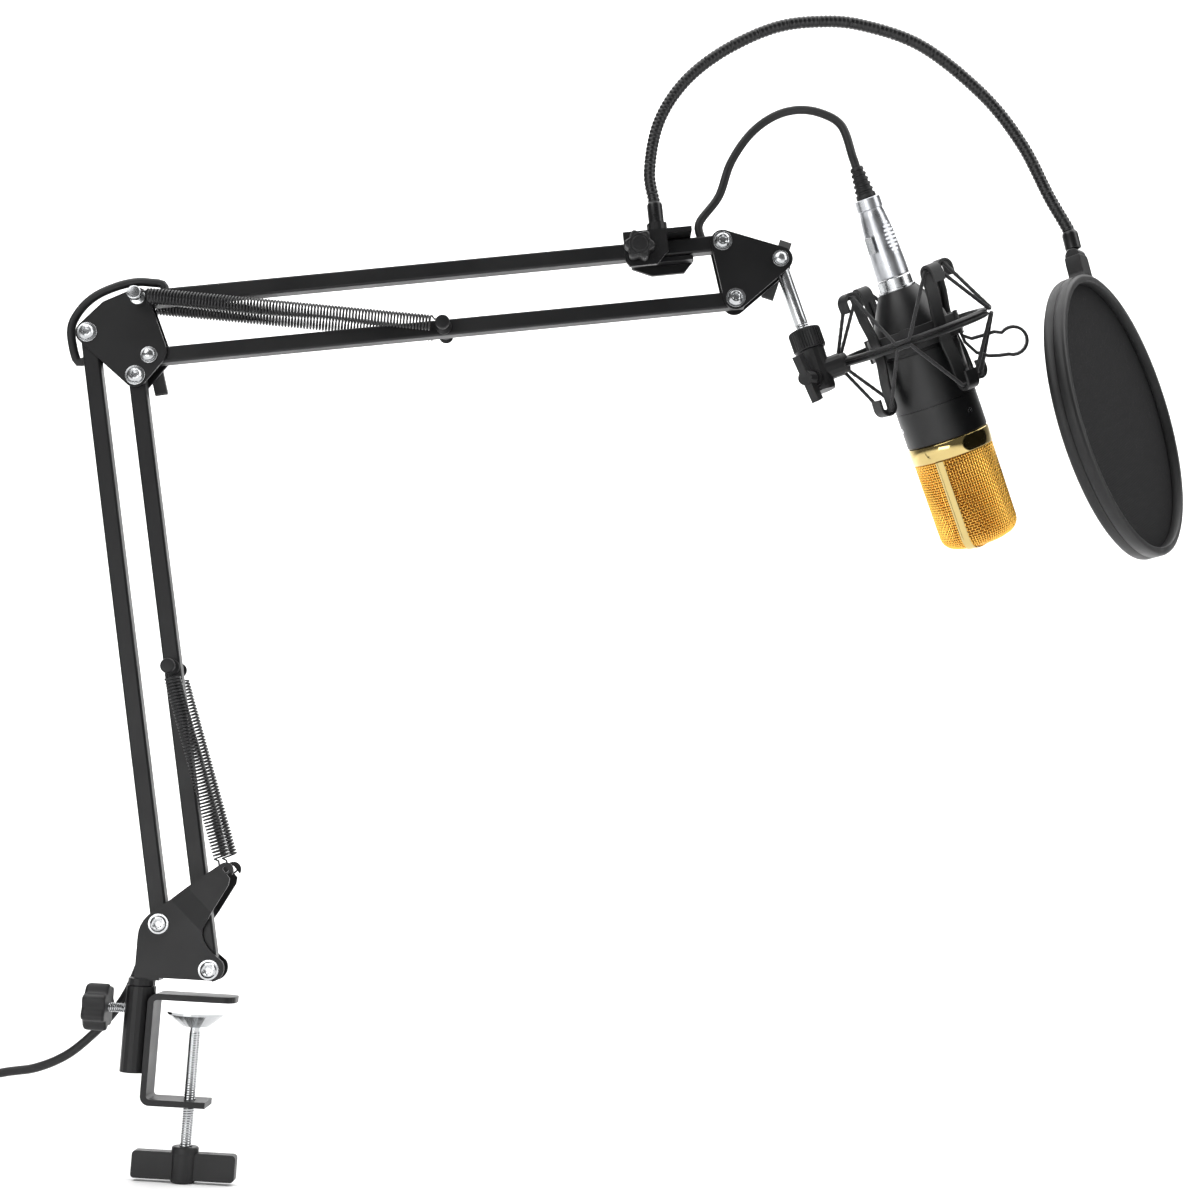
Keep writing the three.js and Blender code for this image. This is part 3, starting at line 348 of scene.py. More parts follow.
class Shell:
    """Vertices and faces that grow as parts are added."""

    def __init__(self):
        self.points = []
        self.faces = []

    def add(self, points, faces, matrix=None):
        first = len(self.points)
        points = [Vector(p) for p in points]
        if matrix is not None:
            points = [matrix @ p for p in points]
        self.points += points
        self.faces += [[first + i for i in face] for face in faces]

    def rings(self, rings, closed=False, caps=True, matrix=None):
        """Joins rings of points, all of the same count, into a skin."""
        count = len(rings[0])
        faces = []
        pairs = len(rings) if closed else len(rings) - 1
        for k in range(pairs):
            a = k * count
            b = ((k + 1) % len(rings)) * count
            for i in range(count):
                j = (i + 1) % count
                faces.append([a + i, a + j, b + j, b + i])
        if caps and not closed:
            last = (len(rings) - 1) * count
            faces += [list(range(count))[::-1], [last + i for i in range(count)]]
        self.add([p for ring in rings for p in ring], faces, matrix)

    def lathe(self, profile, sides=48, matrix=None, shape=None):
        """Turns a profile of (radius, height) about local Z; one that ends where it starts makes a ring.

        shape(angle, radius, height) may change a radius.
        """
        rings = []
        for r, h in profile:
            radius = max(r, 0.001)
            if shape is None:
                rings.append([polar(radius, a, h) for a in round_angles(sides)])
            else:
                rings.append([polar(shape(a, radius, h), a, h) for a in round_angles(sides)])
        closed = profile[0] == profile[-1]
        if closed:
            rings.pop()
        self.rings(rings, closed, True, matrix)

    def tube(self, path, radius, sides=12, closed=False, swell=None):
        """A round tube along a path. swell(k, distance) may scale the radius at a point."""
        path = [Vector(p) for p in path]
        rings = []
        normal = None
        travelled = 0.0
        for k, p in enumerate(path):
            after = path[(k + 1) % len(path)] if closed else path[min(k + 1, len(path) - 1)]
            before = path[k - 1] if closed else path[max(k - 1, 0)]
            ahead = (after - before).normalized()
            if normal is None:
                normal = ahead.orthogonal().normalized()
            normal = (normal - ahead * normal.dot(ahead)).normalized()
            side = ahead.cross(normal)
            if k:
                travelled += (p - path[k - 1]).length
            r = radius if swell is None else radius * swell(k, travelled)
            rings.append([p + normal * (r * cos(a)) + side * (r * sin(a)) for a in round_angles(sides)])
        self.rings(rings, closed)

    def box(self, low, high, matrix=None):
        xs, ys, zs = zip(low, high)
        points = [(x, y, z) for x in xs for y in ys for z in zs]
        faces = [[0, 1, 3, 2], [4, 6, 7, 5], [0, 4, 5, 1], [2, 3, 7, 6], [0, 2, 6, 4], [1, 5, 7, 3]]
        self.add(points, faces, matrix)

    def prism(self, outline, low, high, matrix=None):
        """An outline of (x, y) points, extruded along local Z."""
        count = len(outline)
        points = [(x, y, low) for x, y in outline] + [(x, y, high) for x, y in outline]
        faces = [[i, (i + 1) % count, count + (i + 1) % count, count + i] for i in range(count)]
        faces += [list(range(count))[::-1], [count + i for i in range(count)]]
        self.add(points, faces, matrix)

    def piece(self, name, material, body=None, stands_for=(), bevel=0.0, angle=35):
        """The finished piece, on a body and in place of the CAD nodes that it stands for."""
        mesh = bpy.data.meshes.new(name)
        mesh.from_pydata([tuple(p) for p in self.points], [], self.faces)
        tidy = bmesh.new()
        tidy.from_mesh(mesh)
        bmesh.ops.remove_doubles(tidy, verts=tidy.verts, dist=2e-6)
        bmesh.ops.recalc_face_normals(tidy, faces=tidy.faces)
        tidy.to_mesh(mesh)
        tidy.free()
        mesh.validate()
        mesh.shade_smooth()
        mesh.set_sharp_from_angle(angle=radians(angle))
        mesh.materials.append(material)
        made = bpy.data.objects.new(name, mesh)
        bpy.context.scene.collection.objects.link(made)
        if bevel:
            soften(made, bevel)
        if body:
            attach(made, body)
        if stands_for:
            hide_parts(*stands_for)
        return made


def soften(made, width, segments=2):
    """Rounds a piece's hard edges by a width in metres."""
    rounding = made.modifiers.new("rounding", "BEVEL")
    rounding.width = width
    rounding.segments = segments
    rounding.limit_method = "ANGLE"
    rounding.angle_limit = radians(32)
    rounding.harden_normals = True


def rounded(profile, radius=0.5, steps=3):
    """A profile with each inner corner rounded off."""
    points = [Vector(p) for p in profile]
    out = [tuple(points[0])]
    for before, corner, after in zip(points, points[1:], points[2:]):
        into = before - corner
        away = after - corner
        r = min(radius, into.length * 0.45, away.length * 0.45)
        a = corner + into.normalized() * r
        b = corner + away.normalized() * r
        for k in range(steps + 1):
            t = k / steps
            p = a * (1 - t) ** 2 + corner * (2 * t * (1 - t)) + b * t ** 2
            out.append(tuple(p))
    out.append(tuple(points[-1]))
    return out


def through(points, per_span=8):
    """A smooth line through points."""
    points = [Vector(p) for p in points]
    ends = [points[0] * 2 - points[1], *points, points[-1] * 2 - points[-2]]
    out = []
    for p0, p1, p2, p3 in zip(ends, ends[1:], ends[2:], ends[3:]):
        for k in range(per_span):
            t = k / per_span
            m1 = (p2 - p0) / 2
            m2 = (p3 - p1) / 2
            a = p1 * (2 * t**3 - 3 * t**2 + 1) + m1 * (t**3 - 2 * t**2 + t)
            out.append(a + p2 * (3 * t**2 - 2 * t**3) + m2 * (t**3 - t**2))
    out.append(points[-1])
    return out


def even(path, step):
    """The same line with points an even step apart."""
    path = [Vector(p) for p in path]
    lengths = [0.0]
    for a, b in zip(path, path[1:]):
        lengths.append(lengths[-1] + (b - a).length)
    count = max(2, round(lengths[-1] / step))
    out = []
    k = 0
    for i in range(count + 1):
        at = lengths[-1] * i / count
        while k < len(path) - 2 and lengths[k + 1] < at:
            k += 1
        t = (at - lengths[k]) / max(lengths[k + 1] - lengths[k], 1e-12)
        out.append(path[k].lerp(path[k + 1], min(max(t, 0.0), 1.0)))
    return out


def loop_of(points):
    return [*points, points[0]]


# ---- The lead: cords come first ----
LEAD_R = 2.4 * MM
LEAD_D = 2 * LEAD_R
LEAD_EXIT = 312 * MM
TAIL_EXIT = 16 * MM
BOOT_TOP = 98
TUBE_END = 323 * MM
COIL_CENTRE = mm(-181, -4.4, 0)
COIL_MEAN_R = 27 * MM
COIL_TURNS = 4
TIE_R = 0.45 * MM


def normal_to(direction):
    return Vector((-direction.z, 0, direction.x))


def on_tube(start, direction, along, out):
    """A point over a tube's upper or left face."""
    return start + direction * along + normal_to(direction) * (TUBE_HALF + out * MM)


def in_mount(z):
    return RING + MOUNT_Z * (z * MM)


def cord_piece(name, path, stands_for=()):
    """A stretch of the lead, a round tube from end to end of a path."""
    shell = Shell()
    shell.tube(path, LEAD_R, 14)
    made = shell.piece(name, RUBBER)
    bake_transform(made)
    if stands_for:
        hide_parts(*stands_for)
    return made


def split_at(path, point):
    """The line in two, at its point nearest to a place."""
    k = min(range(len(path)), key=lambda i: (path[i] - Vector(point)).length)
    return path[: k + 1], path[k:]


def make_loop():
    """From the upper tube, over the head, to the plug on the microphone."""
    route = [
        on_tube(ELBOW_C, UPPER_DIR, LEAD_EXIT, -0.6),
        on_tube(ELBOW_C, UPPER_DIR, LEAD_EXIT, 9),
        mm(253, -1, 455),
        mm(258.5, -2.5, 474),
        mm(268, -5, 490),
        mm(280, -8, 500),
        mm(293, -12, 503.5),
        mm(306, -16, 501),
        mm(317.5, -19.5, 493),
        in_mount(BOOT_TOP + 6),
        in_mount(BOOT_TOP + GAP),
    ]
    path = even(through(route), 0.0022)
    first, rest = split_at(path, route[3])
    second, rest = split_at(rest, route[6])
    third, last = split_at(rest, in_mount(BOOT_TOP + 8))
    a = cord_piece("lead_loop_start", first, ["lead_loop"])
    b = cord_piece("lead_loop_rise", second)
    c = cord_piece("lead_loop_fall", third)
    d = cord_piece("lead_loop_end", last)


def make_elbow_lead():
    """Out of the lower tube, round the elbow and into the upper tube."""
    route = [
        on_tube(ELBOW_C, UPPER_DIR, 14 * MM, -0.6),
        on_tube(ELBOW_C, UPPER_DIR, 13 * MM, 3.3),
        mm(-57.5, 0, 386.8),
        mm(-66, 0, 386.6),
        mm(-77, 0, 383.2),
        mm(-88, 0, 377),
        mm(-95.8, 0, 368),
        mm(-99.2, 0, 357),
        on_tube(BASE_A, LOWER_DIR, TUBE_END - 13 * MM, 4.4),
        on_tube(BASE_A, LOWER_DIR, TUBE_END - 14 * MM, -0.6),
    ]
    path = even(through(route), 0.0022)
    first, second = split_at(path, route[4])
    a = cord_piece("lead_elbow_upper", first, ["lead_elbow"])
    b = cord_piece("lead_elbow_lower", second)


def coil_path(start_z):
    """Two layers of four turns, a diameter apart: inwards below, outwards above, then to the plug."""
    outer = COIL_MEAN_R + 1.5 * LEAD_D
    inner = COIL_MEAN_R - 1.5 * LEAD_D
    per_turn = 36
    path = []
    for k in range(2 * COIL_TURNS * per_turn + per_turn // 4 + 1):
        turn = k / per_turn
        if turn < COIL_TURNS:
            share = min(turn / (COIL_TURNS - 1), 1.0)
            radius = outer + (inner - outer) * share
        else:
            share = min((turn - COIL_TURNS) / (COIL_TURNS - 1), 1.0)
            radius = inner + (outer - inner) * share
        lead_in = max(0.0, 1 - turn * 5)
        radius += LEAD_D * 0.5 * lead_in**2
        rise = min(max((turn - COIL_TURNS + 0.7) / 0.7, 0.0), 1.0)
        rise = rise * rise * (3 - 2 * rise)
        angle = pi / 2 + 2 * pi * turn
        height = start_z + rise * LEAD_D
        path.append(COIL_CENTRE + Vector((radius * cos(angle), radius * sin(angle), height)))
    return path


def make_tail():
    """Out of the lower tube, down behind the clamp to the floor, then the stored coil and the far plug."""
    floor = FLOOR_Z + LEAD_R + 0.05 * MM
    start = BASE_A + LOWER_DIR * TAIL_EXIT + Vector((0, TUBE_HALF - 0.6 * MM, 0))
    route = [
        start,
        start + mm(0, 4.5, -0.6),
        mm(-27.2, 11.5, 49.5),
        mm(-28.6, 12.6, 42),
        mm(-31, 13, 30),
        mm(-34.6, 14, 17),
        mm(-40.6, 16, 1),
        mm(-48.4, 18.2, -11.5),
        mm(-58.3, 20, -23),
        mm(-71.5, 21.5, -34.7),
        mm(-87.6, 23.5, -42.5),
        mm(-104, 26, -46),
        mm(-118, 28.5, -50),
        mm(-130, 31, -57),
        mm(-139, 33, -66.5),
        mm(-146.5, 34.5, -77.5),
        mm(-155, 34.2, -86.5),
        Vector((-0.166, 0.0325, floor)),
    ]
    coil = coil_path(floor)
    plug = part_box("lead_plug")
    boot = Vector((coil[-1].x, plug[1].y + 1 * MM, FLOOR_Z + 9.4 * MM))
    route.append(coil[0])
    whole = even([*through(route), *coil[1:], coil[-1].lerp(boot, 0.5), boot], 0.0024)
    short, long = split_at(whole, route[3])
    a = cord_piece("lead_tail_start", short, ["lead_tail"])
    b = cord_piece("lead_tail_run", long, ["lead_coil"])
    make_tie()


def make_tie():
    """The tie round one side of the coil."""
    half_wide = 2 * LEAD_D + 0.8 * MM
    half_high = LEAD_D + 0.5 * MM
    belt = []
    for angle in round_angles(32):
        c = cos(angle)
        s = sin(angle)
        y = copysign(abs(c) ** 0.35, c) * half_wide
        z = copysign(abs(s) ** 0.35, s) * (half_high - TIE_R)
        belt.append(Vector((COIL_CENTRE.x, COIL_CENTRE.y - COIL_MEAN_R + y, FLOOR_Z + half_high + z)))
    tie = Shell()
    tie.tube(belt, TIE_R, 8, closed=True)
    return tie.piece("lead_tie", RUBBER, "clamp")


make_loop()
make_elbow_lead()
make_tail()


# ---- CAD nodes whose shape is right: better edges and materials ----
KEPT = {
    STEEL: [
        "clamp_frame", "base_bracket", "lower_tube_a", "lower_tube_b", "upper_tube_c", "upper_tube_d",
        "elbow_plate_front", "elbow_plate_back", "head_plate_front", "head_plate_back", "pop_clamp",
    ],
    PLASTIC: ["elbow_wing_nut", "head_wing_nut", "wing_screw", "connector_insert", "adapter_body"],
    NICKEL: ["plug_latch", "clamp_pad"],
    SILVER: ["lead_plug"],
    GOLD: ["capsule"],
    BOARD: ["circuit_board"],
}
NO_EDGE = ["lower_tube_a", "lower_tube_b", "upper_tube_c", "upper_tube_d", "clamp_pad"]
EDGE = {
    "elbow_wing_nut": 1.0,
    "head_wing_nut": 1.0,
    "wing_screw": 0.7,
    "pop_clamp": 0.5,
    "adapter_body": 0.4,
}
USUAL_EDGE = 0.25


def dress_cad_nodes():
    for material, names in KEPT.items():
        for name in names:
            made = NODES[name]
            made.data.materials.clear()
            made.data.materials.append(material)
            for face in made.data.polygons:
                face.material_index = 0
            made.data.shade_smooth()
            made.data.set_sharp_from_angle(angle=radians(30))
            if name not in NO_EDGE:
                soften(made, EDGE.get(name, USUAL_EDGE) * MM)


dress_cad_nodes()


# ---- Bolts ----
def hexagon(flat, until):
    """A radius that follows a hexagon's sides up to a height."""

    def shape(angle, radius, height):
        if radius > until:
            return radius
        part = (angle % (pi / 3)) - pi / 6
        return radius / until * flat / cos(part)

    return shape


def socket_head(shell, seat, direction):
    """A button head with a hexagon socket, standing on a washer."""
    radius = 4.4
    height = 3.1
    matrix = facing(seat, direction)
    washer = rounded([(0, 0), (radius + 1, 0), (radius + 1, 0.8), (0, 0.8)], 0.25)
    shell.lathe(washer, 40, matrix)
    dome = [
        (0, 0.7), (radius, 0.7), (radius, height * 0.45), (radius * 0.86, height * 0.78),
        (radius * 0.66, height),
    ]
    socket = [(2.1, height - 0.1), (2.0, height - 0.3), (2.0, 0.9), (1.2, 0.8), (0, 0.7)]
    shell.lathe(rounded(dome, 0.5) + socket, 48, matrix, hexagon(1.8, 2.0))


def lock_nut(shell, seat, direction):
    """A hexagon nut with a rounded collar."""
    matrix = facing(seat, direction)
    shell.lathe(rounded([(0, 0), (4.6, 0), (4.6, 0.6), (0, 0.6)], 0.2), 40, matrix)
    height = 2.4
    corner = 3.6 / cos(pi / 6)
    nut = [(0, 0.5), (corner * 0.96, 0.5), (corner, 0.9), (corner, height - 0.7), (corner * 0.9, height)]
    shell.lathe([*nut, (0, height)], 6, matrix)
    collar = [(2.9, height - 0.2), (2.9, height + 0.6), (2.0, height + 0.6), (2.0, height - 0.2)]
    shell.lathe(rounded(collar, 0.2), 24, matrix)
    shell.lathe([(0, height), (1.9, height), (1.9, height + 0.9), (0, height + 1.1)], 20, matrix)


def pivot_bolt(name, at, body):
    shell = Shell()
    socket_head(shell, at + FRONT * SEAT, FRONT)
    lock_nut(shell, at + BACK * SEAT, BACK)
    shell.lathe([(0, -6.6), (2.6, -6.6), (2.6, 6.6), (0, 6.6)], 20, facing(at, BACK))
    shell.piece(name + "_bolt", NICKEL, body, [name], angle=28)


def wing_bolt(name, at, body):
    shell = Shell()
    front = facing(at + FRONT * SEAT, FRONT)
    shell.lathe(rounded([(0, 0), (4.6, 0), (4.6, 0.7), (0, 0.7)], 0.25), 40, front)
    head = [(0, 0.6), (3.6, 0.6), (3.6, 1.1), (3.2, 2.2), (2.2, 3.0), (1.0, 3.25), (0, 3.3)]
    shell.lathe(head, 36, front)
    threaded(shell, facing(at, BACK), 2.2, 6.4, 15, 0.8)
    shell.lathe([(0, -6.6), (2.6, -6.6), (2.6, 6.4), (0, 6.4)], 20, facing(at, BACK))
    shell.piece(name + "_bolt", NICKEL, body, [name], angle=28)


def threaded(shell, matrix, radius, low, high, pitch):
    """A rod with a real thread."""
    depth = 0.28
    rows = max(8, int((high - low) / pitch * 6))
    rings = []
    for k in range(rows + 1):
        h = low + (high - low) * k / rows
        taper = min(1.0, (h - low) / pitch, (high - h) / pitch)
        ring = []
        for angle in round_angles(28):
            phase = (h / pitch - angle / (2 * pi)) % 1.0
            cut = depth * (0.5 + 0.5 * cos(2 * pi * phase)) * taper
            r = radius - depth * (1 - taper) - cut
            ring.append(polar(r, angle, h))
        rings.append(ring)
    shell.rings(rings, matrix=matrix)


def make_bolts():
    pivot_bolt("base_bolt_a", BASE_A, "base")
    pivot_bolt("base_bolt_b", BASE_B, "base")
    pivot_bolt("elbow_bolt_a", ELBOW_A, "elbow")
    pivot_bolt("elbow_bolt_b", ELBOW_B, "elbow")
    pivot_bolt("head_bolt_c", HEAD_C, "head")
    pivot_bolt("head_bolt_d", HEAD_D, "head")
    wing_bolt("elbow_clamp_bolt", ELBOW_D, "elbow")
    wing_bolt("tilt_bolt", TILT, "head")


make_bolts()


# ---- Springs and the bolts that carry them ----
SPRING_R = 4.0 * MM
SPRING_WIRE_R = 0.55 * MM
SPRING_PITCH = 1.75 * MM
HOOK_R = 2.6 * MM
HOOK_REACH = 6.5 * MM


def spring_bolt(name, at, body, seat, material):
    """A bolt across the arm, with a groove and a round cap at each end for the springs' hooks."""
    shell = Shell()
    for direction in (FRONT, BACK):
        matrix = facing(at, direction)
        profile = [
            (0, seat), (4.3, seat), (4.3, seat + 1.2), (2.0, seat + 1.6), (2.0, 14.6),
            (3.9, 14.9), (4.1, 15.6), (3.6, 17.0), (0, 17.0),
        ]
        shell.lathe(rounded(profile, 0.5), 36, matrix)
    half = seat + 0.3
    shell.lathe([(0, -half), (2.4, -half), (2.4, half), (0, half)], 20, facing(at, BACK))
    shell.piece(name + "_pin", material, body, [name])


def spring_line(start, end):
    """The wire's centreline: a hook, the coil, and a hook, between two points."""
    along = (end - start).normalized()
    side = along.cross(Y).normalized()
    body = (end - start).length - 2 * HOOK_REACH
    turns = round(body / SPRING_PITCH)
    steps = turns * 14

    def hook(centre, first):
        angles = [radians(first + 240 * k / 14) for k in range(15)]
        return [centre + side * (HOOK_R * sin(a)) - along * (HOOK_R * cos(a)) for a in angles]

    bridge = along * (HOOK_REACH * 0.75)
    rise = side * (SPRING_R * 0.55)
    line = [*hook(start, -150), start + bridge + rise]
    for k in range(steps + 1):
        angle = 2 * pi * turns * k / steps
        at = start + along * (HOOK_REACH + body * k / steps)
        line.append(at + side * (SPRING_R * cos(angle)) + Y * (SPRING_R * sin(angle)))
    return [*line, end - bridge + rise, *hook(end, 90)]


def make_spring(name, start, end):
    shell = Shell()
    shell.tube(spring_line(start, end), SPRING_WIRE_R, 6)
    made = shell.piece(name + "_coil", SPRING, angle=60)
    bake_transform(made)
    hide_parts(name)


def make_springs():
    spring_bolt("lower_spring_bolt", LOWER_PIN, "lower_link_b", 4.8, STEEL)
    spring_bolt("upper_spring_bolt", UPPER_PIN, "upper_link_d", 4.8, STEEL)
    spring_bolt("elbow_spring_bolt", ELBOW_C, "elbow", 6.6, NICKEL)
    for side, word in ((-1, "front"), (1, "back")):
        out = Vector((0, side * SPRING_Y, 0))
        make_spring("lower_spring_" + word, BASE_HOOK + out, LOWER_PIN + out)
        make_spring("upper_spring_" + word, ELBOW_C + out, UPPER_PIN + out)


make_springs()


# ---- Desk clamp ----
def make_clamp():
    shell = Shell()
    low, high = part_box("clamp_screw")
    threaded(shell, UPRIGHT, 3.0, low.z / MM, -16, 1.25)
    shell.lathe([(0, -16.5), (2.55, -16.5), (2.55, high.z / MM), (0, high.z / MM)], 28, UPRIGHT)
    shell.piece("clamp_screw_rod", NICKEL, "screw", ["clamp_screw"], angle=60)

    bar = Shell()
    corner = 2
    outline = []
    for x, z, first in ((25, -80, 0), (-25, -80, 90), (-25, -90, 180), (25, -90, 270)):
        for k in range(5):
            angle = radians(first + 90 * k / 4)
            outline.append((x + corner * cos(angle), z + corner * sin(angle)))
    sideways = placed(ORIGIN, X, Z, FRONT)
    bar.prism(outline, -3.5, 3.5, sideways)
    hub = [
        (0, -93.5), (5.6, -93.5), (6.6, -92.6), (6.8, -79), (7.0, -78.4), (7.0, -75.6), (6.4, -75),
        (3.3, -75), (3.3, -76.5), (0, -76.5),
    ]
    bar.lathe(rounded(hub, 0.5), 40, UPRIGHT)
    bar.piece("clamp_handle_bar", PLASTIC, "screw", ["clamp_handle"], bevel=0.5 * MM)

    lock = Shell()
    turn = placed(Vector((0, 0, -6 * MM)), Y, Z, X)
    threaded(lock, turn, 2.5, -46.5, -37.2, 1.0)
    lock.piece("lock_screw_thread", NICKEL, "lock")


make_clamp()


# ---- Lobed knobs ----
def make_knob(name, matrix, lobes, radius, dip, depth, body):
    """A moulded knob with round lobes, a dished face and a raised middle."""

    def shape(angle, r, _):
        share = min(max((r / radius - 0.62) / 0.3, 0.0), 1.0)
        return r - dip * share * (0.5 - 0.5 * cos(lobes * angle))

    edge = min(1.4, depth * 0.2)
    profile = [
        (0, 0), (radius * 0.5, 0), (radius * 0.95, 0), (radius, edge * 0.7), (radius, depth - edge * 1.6),
        (radius * 0.96, depth - edge * 0.6), (radius * 0.86, depth), (radius * 0.7, depth),
        (radius * 0.62, depth - 0.6), (radius * 0.54, depth - 0.6), (radius * 0.48, depth), (0, depth),
    ]
    shell = Shell()
    shell.lathe(rounded(profile, 0.7), lobes * 16, matrix, shape)
    shell.piece(name + "_grip", PLASTIC, body, [name], angle=50)


def make_knobs():
    lock = placed(Vector((-58.5, 0, -6)) * MM, Y, Z, X)
    flip = lock @ Matrix.Translation((0, 0, 12.5)) @ Matrix.Rotation(pi, 4, "X")
    make_knob("lock_knob", flip, 7, 12.5, 2.6, 12.5, "lock")
    knob = pivot("pop_knob_turn")
    make_knob("pop_knob", facing(knob + FRONT * 16.4 * MM, FRONT), 6, 8.6, 1.9, 9, "pop_screw")
    shell = Shell()
    screw = facing(knob, FRONT)
    threaded(shell, screw, 2.3, 7.5, 16.6, 0.9)
    shell.lathe(rounded([(0, 5.1), (4, 5.1), (4, 7.2), (2.4, 8.2), (0, 8.2)], 0.3), 32, screw)
    shell.piece("pop_knob_screw", NICKEL, "pop_screw")


make_knobs()


# ---- Stud and collar nut ----
STUD_X = Vector((STUD_Z.z, 0, -STUD_Z.x))
STUD = placed(TILT, STUD_X, STUD_Z.cross(STUD_X), STUD_Z)


def fluted(angle, radius, height):
    """The collar nut's radius, with fine ribs round its outside."""
    if radius < 8.0 or not -52.2 <= height <= -41.8:
        return radius
    return radius - 0.45 * (0.5 - 0.5 * cos(36 * angle))


def make_stud():
    shell = Shell()
    shell.lathe(rounded([(0, -38), (3.75, -38), (3.75, -6), (3.2, -4.2), (0, -4.2)], 0.4), 36, STUD)
    threaded(shell, STUD, 3.75, -57.5, -37.6, 1.4)
    sideways = placed(TILT, X, Z, FRONT)
    eye = rounded([(3.0, -4.6), (5.2, -4.6), (5.2, 4.6), (3.0, 4.6)], 0.4)
    shell.lathe(loop_of(eye), 40, sideways)
    shell.piece("stud_rod", NICKEL, "adapter", ["stud"])

    nut = Shell()
    profile = rounded([(4.1, -53), (8.6, -53), (9.1, -52), (9.1, -42), (8.4, -41), (4.1, -41)], 0.5)
    nut.lathe(loop_of(profile), 144, STUD, fluted)
    nut.piece("collar_nut_ring", PLASTIC, "collar", ["collar_nut"], angle=50)


make_stud()


# ---- Shock mount ----
RING_R = 42.5
RING_WALL = 5.0
RING_HALF = 2.4
HOOK_ANGLES = [22, 112, 202, 292]
HOOK_TOP = 30
BAND_R = 23.2


def local(origin_angle):
    """A turn about the mount's axis."""
    return MOUNT @ Matrix.Rotation(radians(origin_angle), 4, "Z")


def make_shock_ring():
    shell = Shell()
    inner = RING_R - RING_WALL
    groove = 0.7
    profile = [
        (inner, -RING_HALF), (RING_R - 1.2, -RING_HALF), (RING_R, -1.4), (RING_R, -0.6),
        (RING_R - groove, -0.3), (RING_R - groove, 0.3), (RING_R, 0.6), (RING_R, 1.4),
        (RING_R - 1.2, RING_HALF), (inner, RING_HALF),
        (inner, 0.9), (inner + 0.8, 0.6), (inner + 0.8, -0.6), (inner, -0.9),
    ]
    shell.lathe(rounded(loop_of(profile), 0.35, 2), 128, MOUNT)
    arm = placed(RING, MOUNT_Y, MOUNT_Z, MOUNT_X)
    shell.lathe(rounded([(0, -44.2), (5.6, -44.2), (5.6, -39.6), (0, -39.6)], 0.8), 40, arm)
    shell.lathe([(0, -54.4), (3.2, -54.4), (3.2, -42.5), (0, -42.5)], 28, arm)
    shell.piece("shock_ring_hoop", PLASTIC, "ring", ["shock_ring"])


def ribbon(path, width, thick):
    """A flat strip that follows a path in local X and Z; its width is along local Y."""
    rings = []
    for k, p in enumerate(path):
        before = Vector(path[max(k - 1, 0)])
        after = Vector(path[min(k + 1, len(path) - 1)])
        ahead = (after - before).normalized()
        out = Vector((-ahead[1], ahead[0])) * (thick / 2)
        edge = width / 2
        flat = edge - min(0.35, thick * 0.3)
        outline = (
            (1, flat), (1, -flat), (0.55, -edge), (-0.55, -edge),
            (-1, -flat), (-1, flat), (-0.55, edge), (0.55, edge),
        )
        rings.append([(p[0] + side * out[0], y, p[1] + side * out[1]) for side, y in outline])
    return rings


def finger_path():
    """A cradle finger's middle line in r and z: out from the band, up, and folded over into a hook."""
    line = [(BAND_R + 1.2, 0.6), (BAND_R + 2.6, 3.5), (26.4, 9), (28.2, 18), (28.7, HOOK_TOP - 4)]
    for k in range(13):
        angle = pi - pi * k / 12
        line.append((33.2 + 4.5 * cos(angle), HOOK_TOP + 4.5 * sin(angle)))
    line += [(37.6, HOOK_TOP - 2.5), (37.5, HOOK_TOP - 5)]
    return line


def lever_path():
    """The squeeze lever's middle line in r and z: out from the band, round in a loop, and back to it."""
    centre = (50, -20)
    line = [(BAND_R + 1.2, -3), (BAND_R + 1.8, -8), (29.4, -11.4), (36, -11.8), (41.8, -11.9)]
    for k in range(15):
        angle = radians(125 - 250 * k / 14)
        line.append((centre[0] + 7.6 * cos(angle), centre[1] + 7.6 * sin(angle)))
    line += [(40.6, -25.2), (35, -23.4), (29.5, -19.5), (BAND_R + 2.2, -12), (BAND_R + 1.6, -5)]
    return line


def make_cradle():
    shell = Shell()
    band = [(BAND_R, -6), (BAND_R + 2.2, -6), (BAND_R + 2.2, 6), (BAND_R, 6)]
    shell.lathe(rounded(loop_of(band), 0.5), 96, MOUNT)
    for angle in HOOK_ANGLES:
        for flip in (1, -1):
            matrix = local(angle) @ Matrix.Diagonal((1, 1, flip, 1))
            shell.rings(ribbon(finger_path(), 8, 1.8), matrix=matrix)
            rib = [(x - 1.2, z) for x, z in finger_path()[:5]]
            shell.rings(ribbon(rib, 1.6, 1.6), matrix=matrix)
    shell.rings(ribbon(lever_path(), 8, 1.7), matrix=local(-15))
    for angle in (67, 157, 247, 337):
        shell.box((BAND_R + 1.6, -3, -6.6), (BAND_R + 3.4, 3, 6.6), local(angle))
    shell.piece("mic_cradle_frame", PLASTIC, "cradle", ["mic_cradle"])


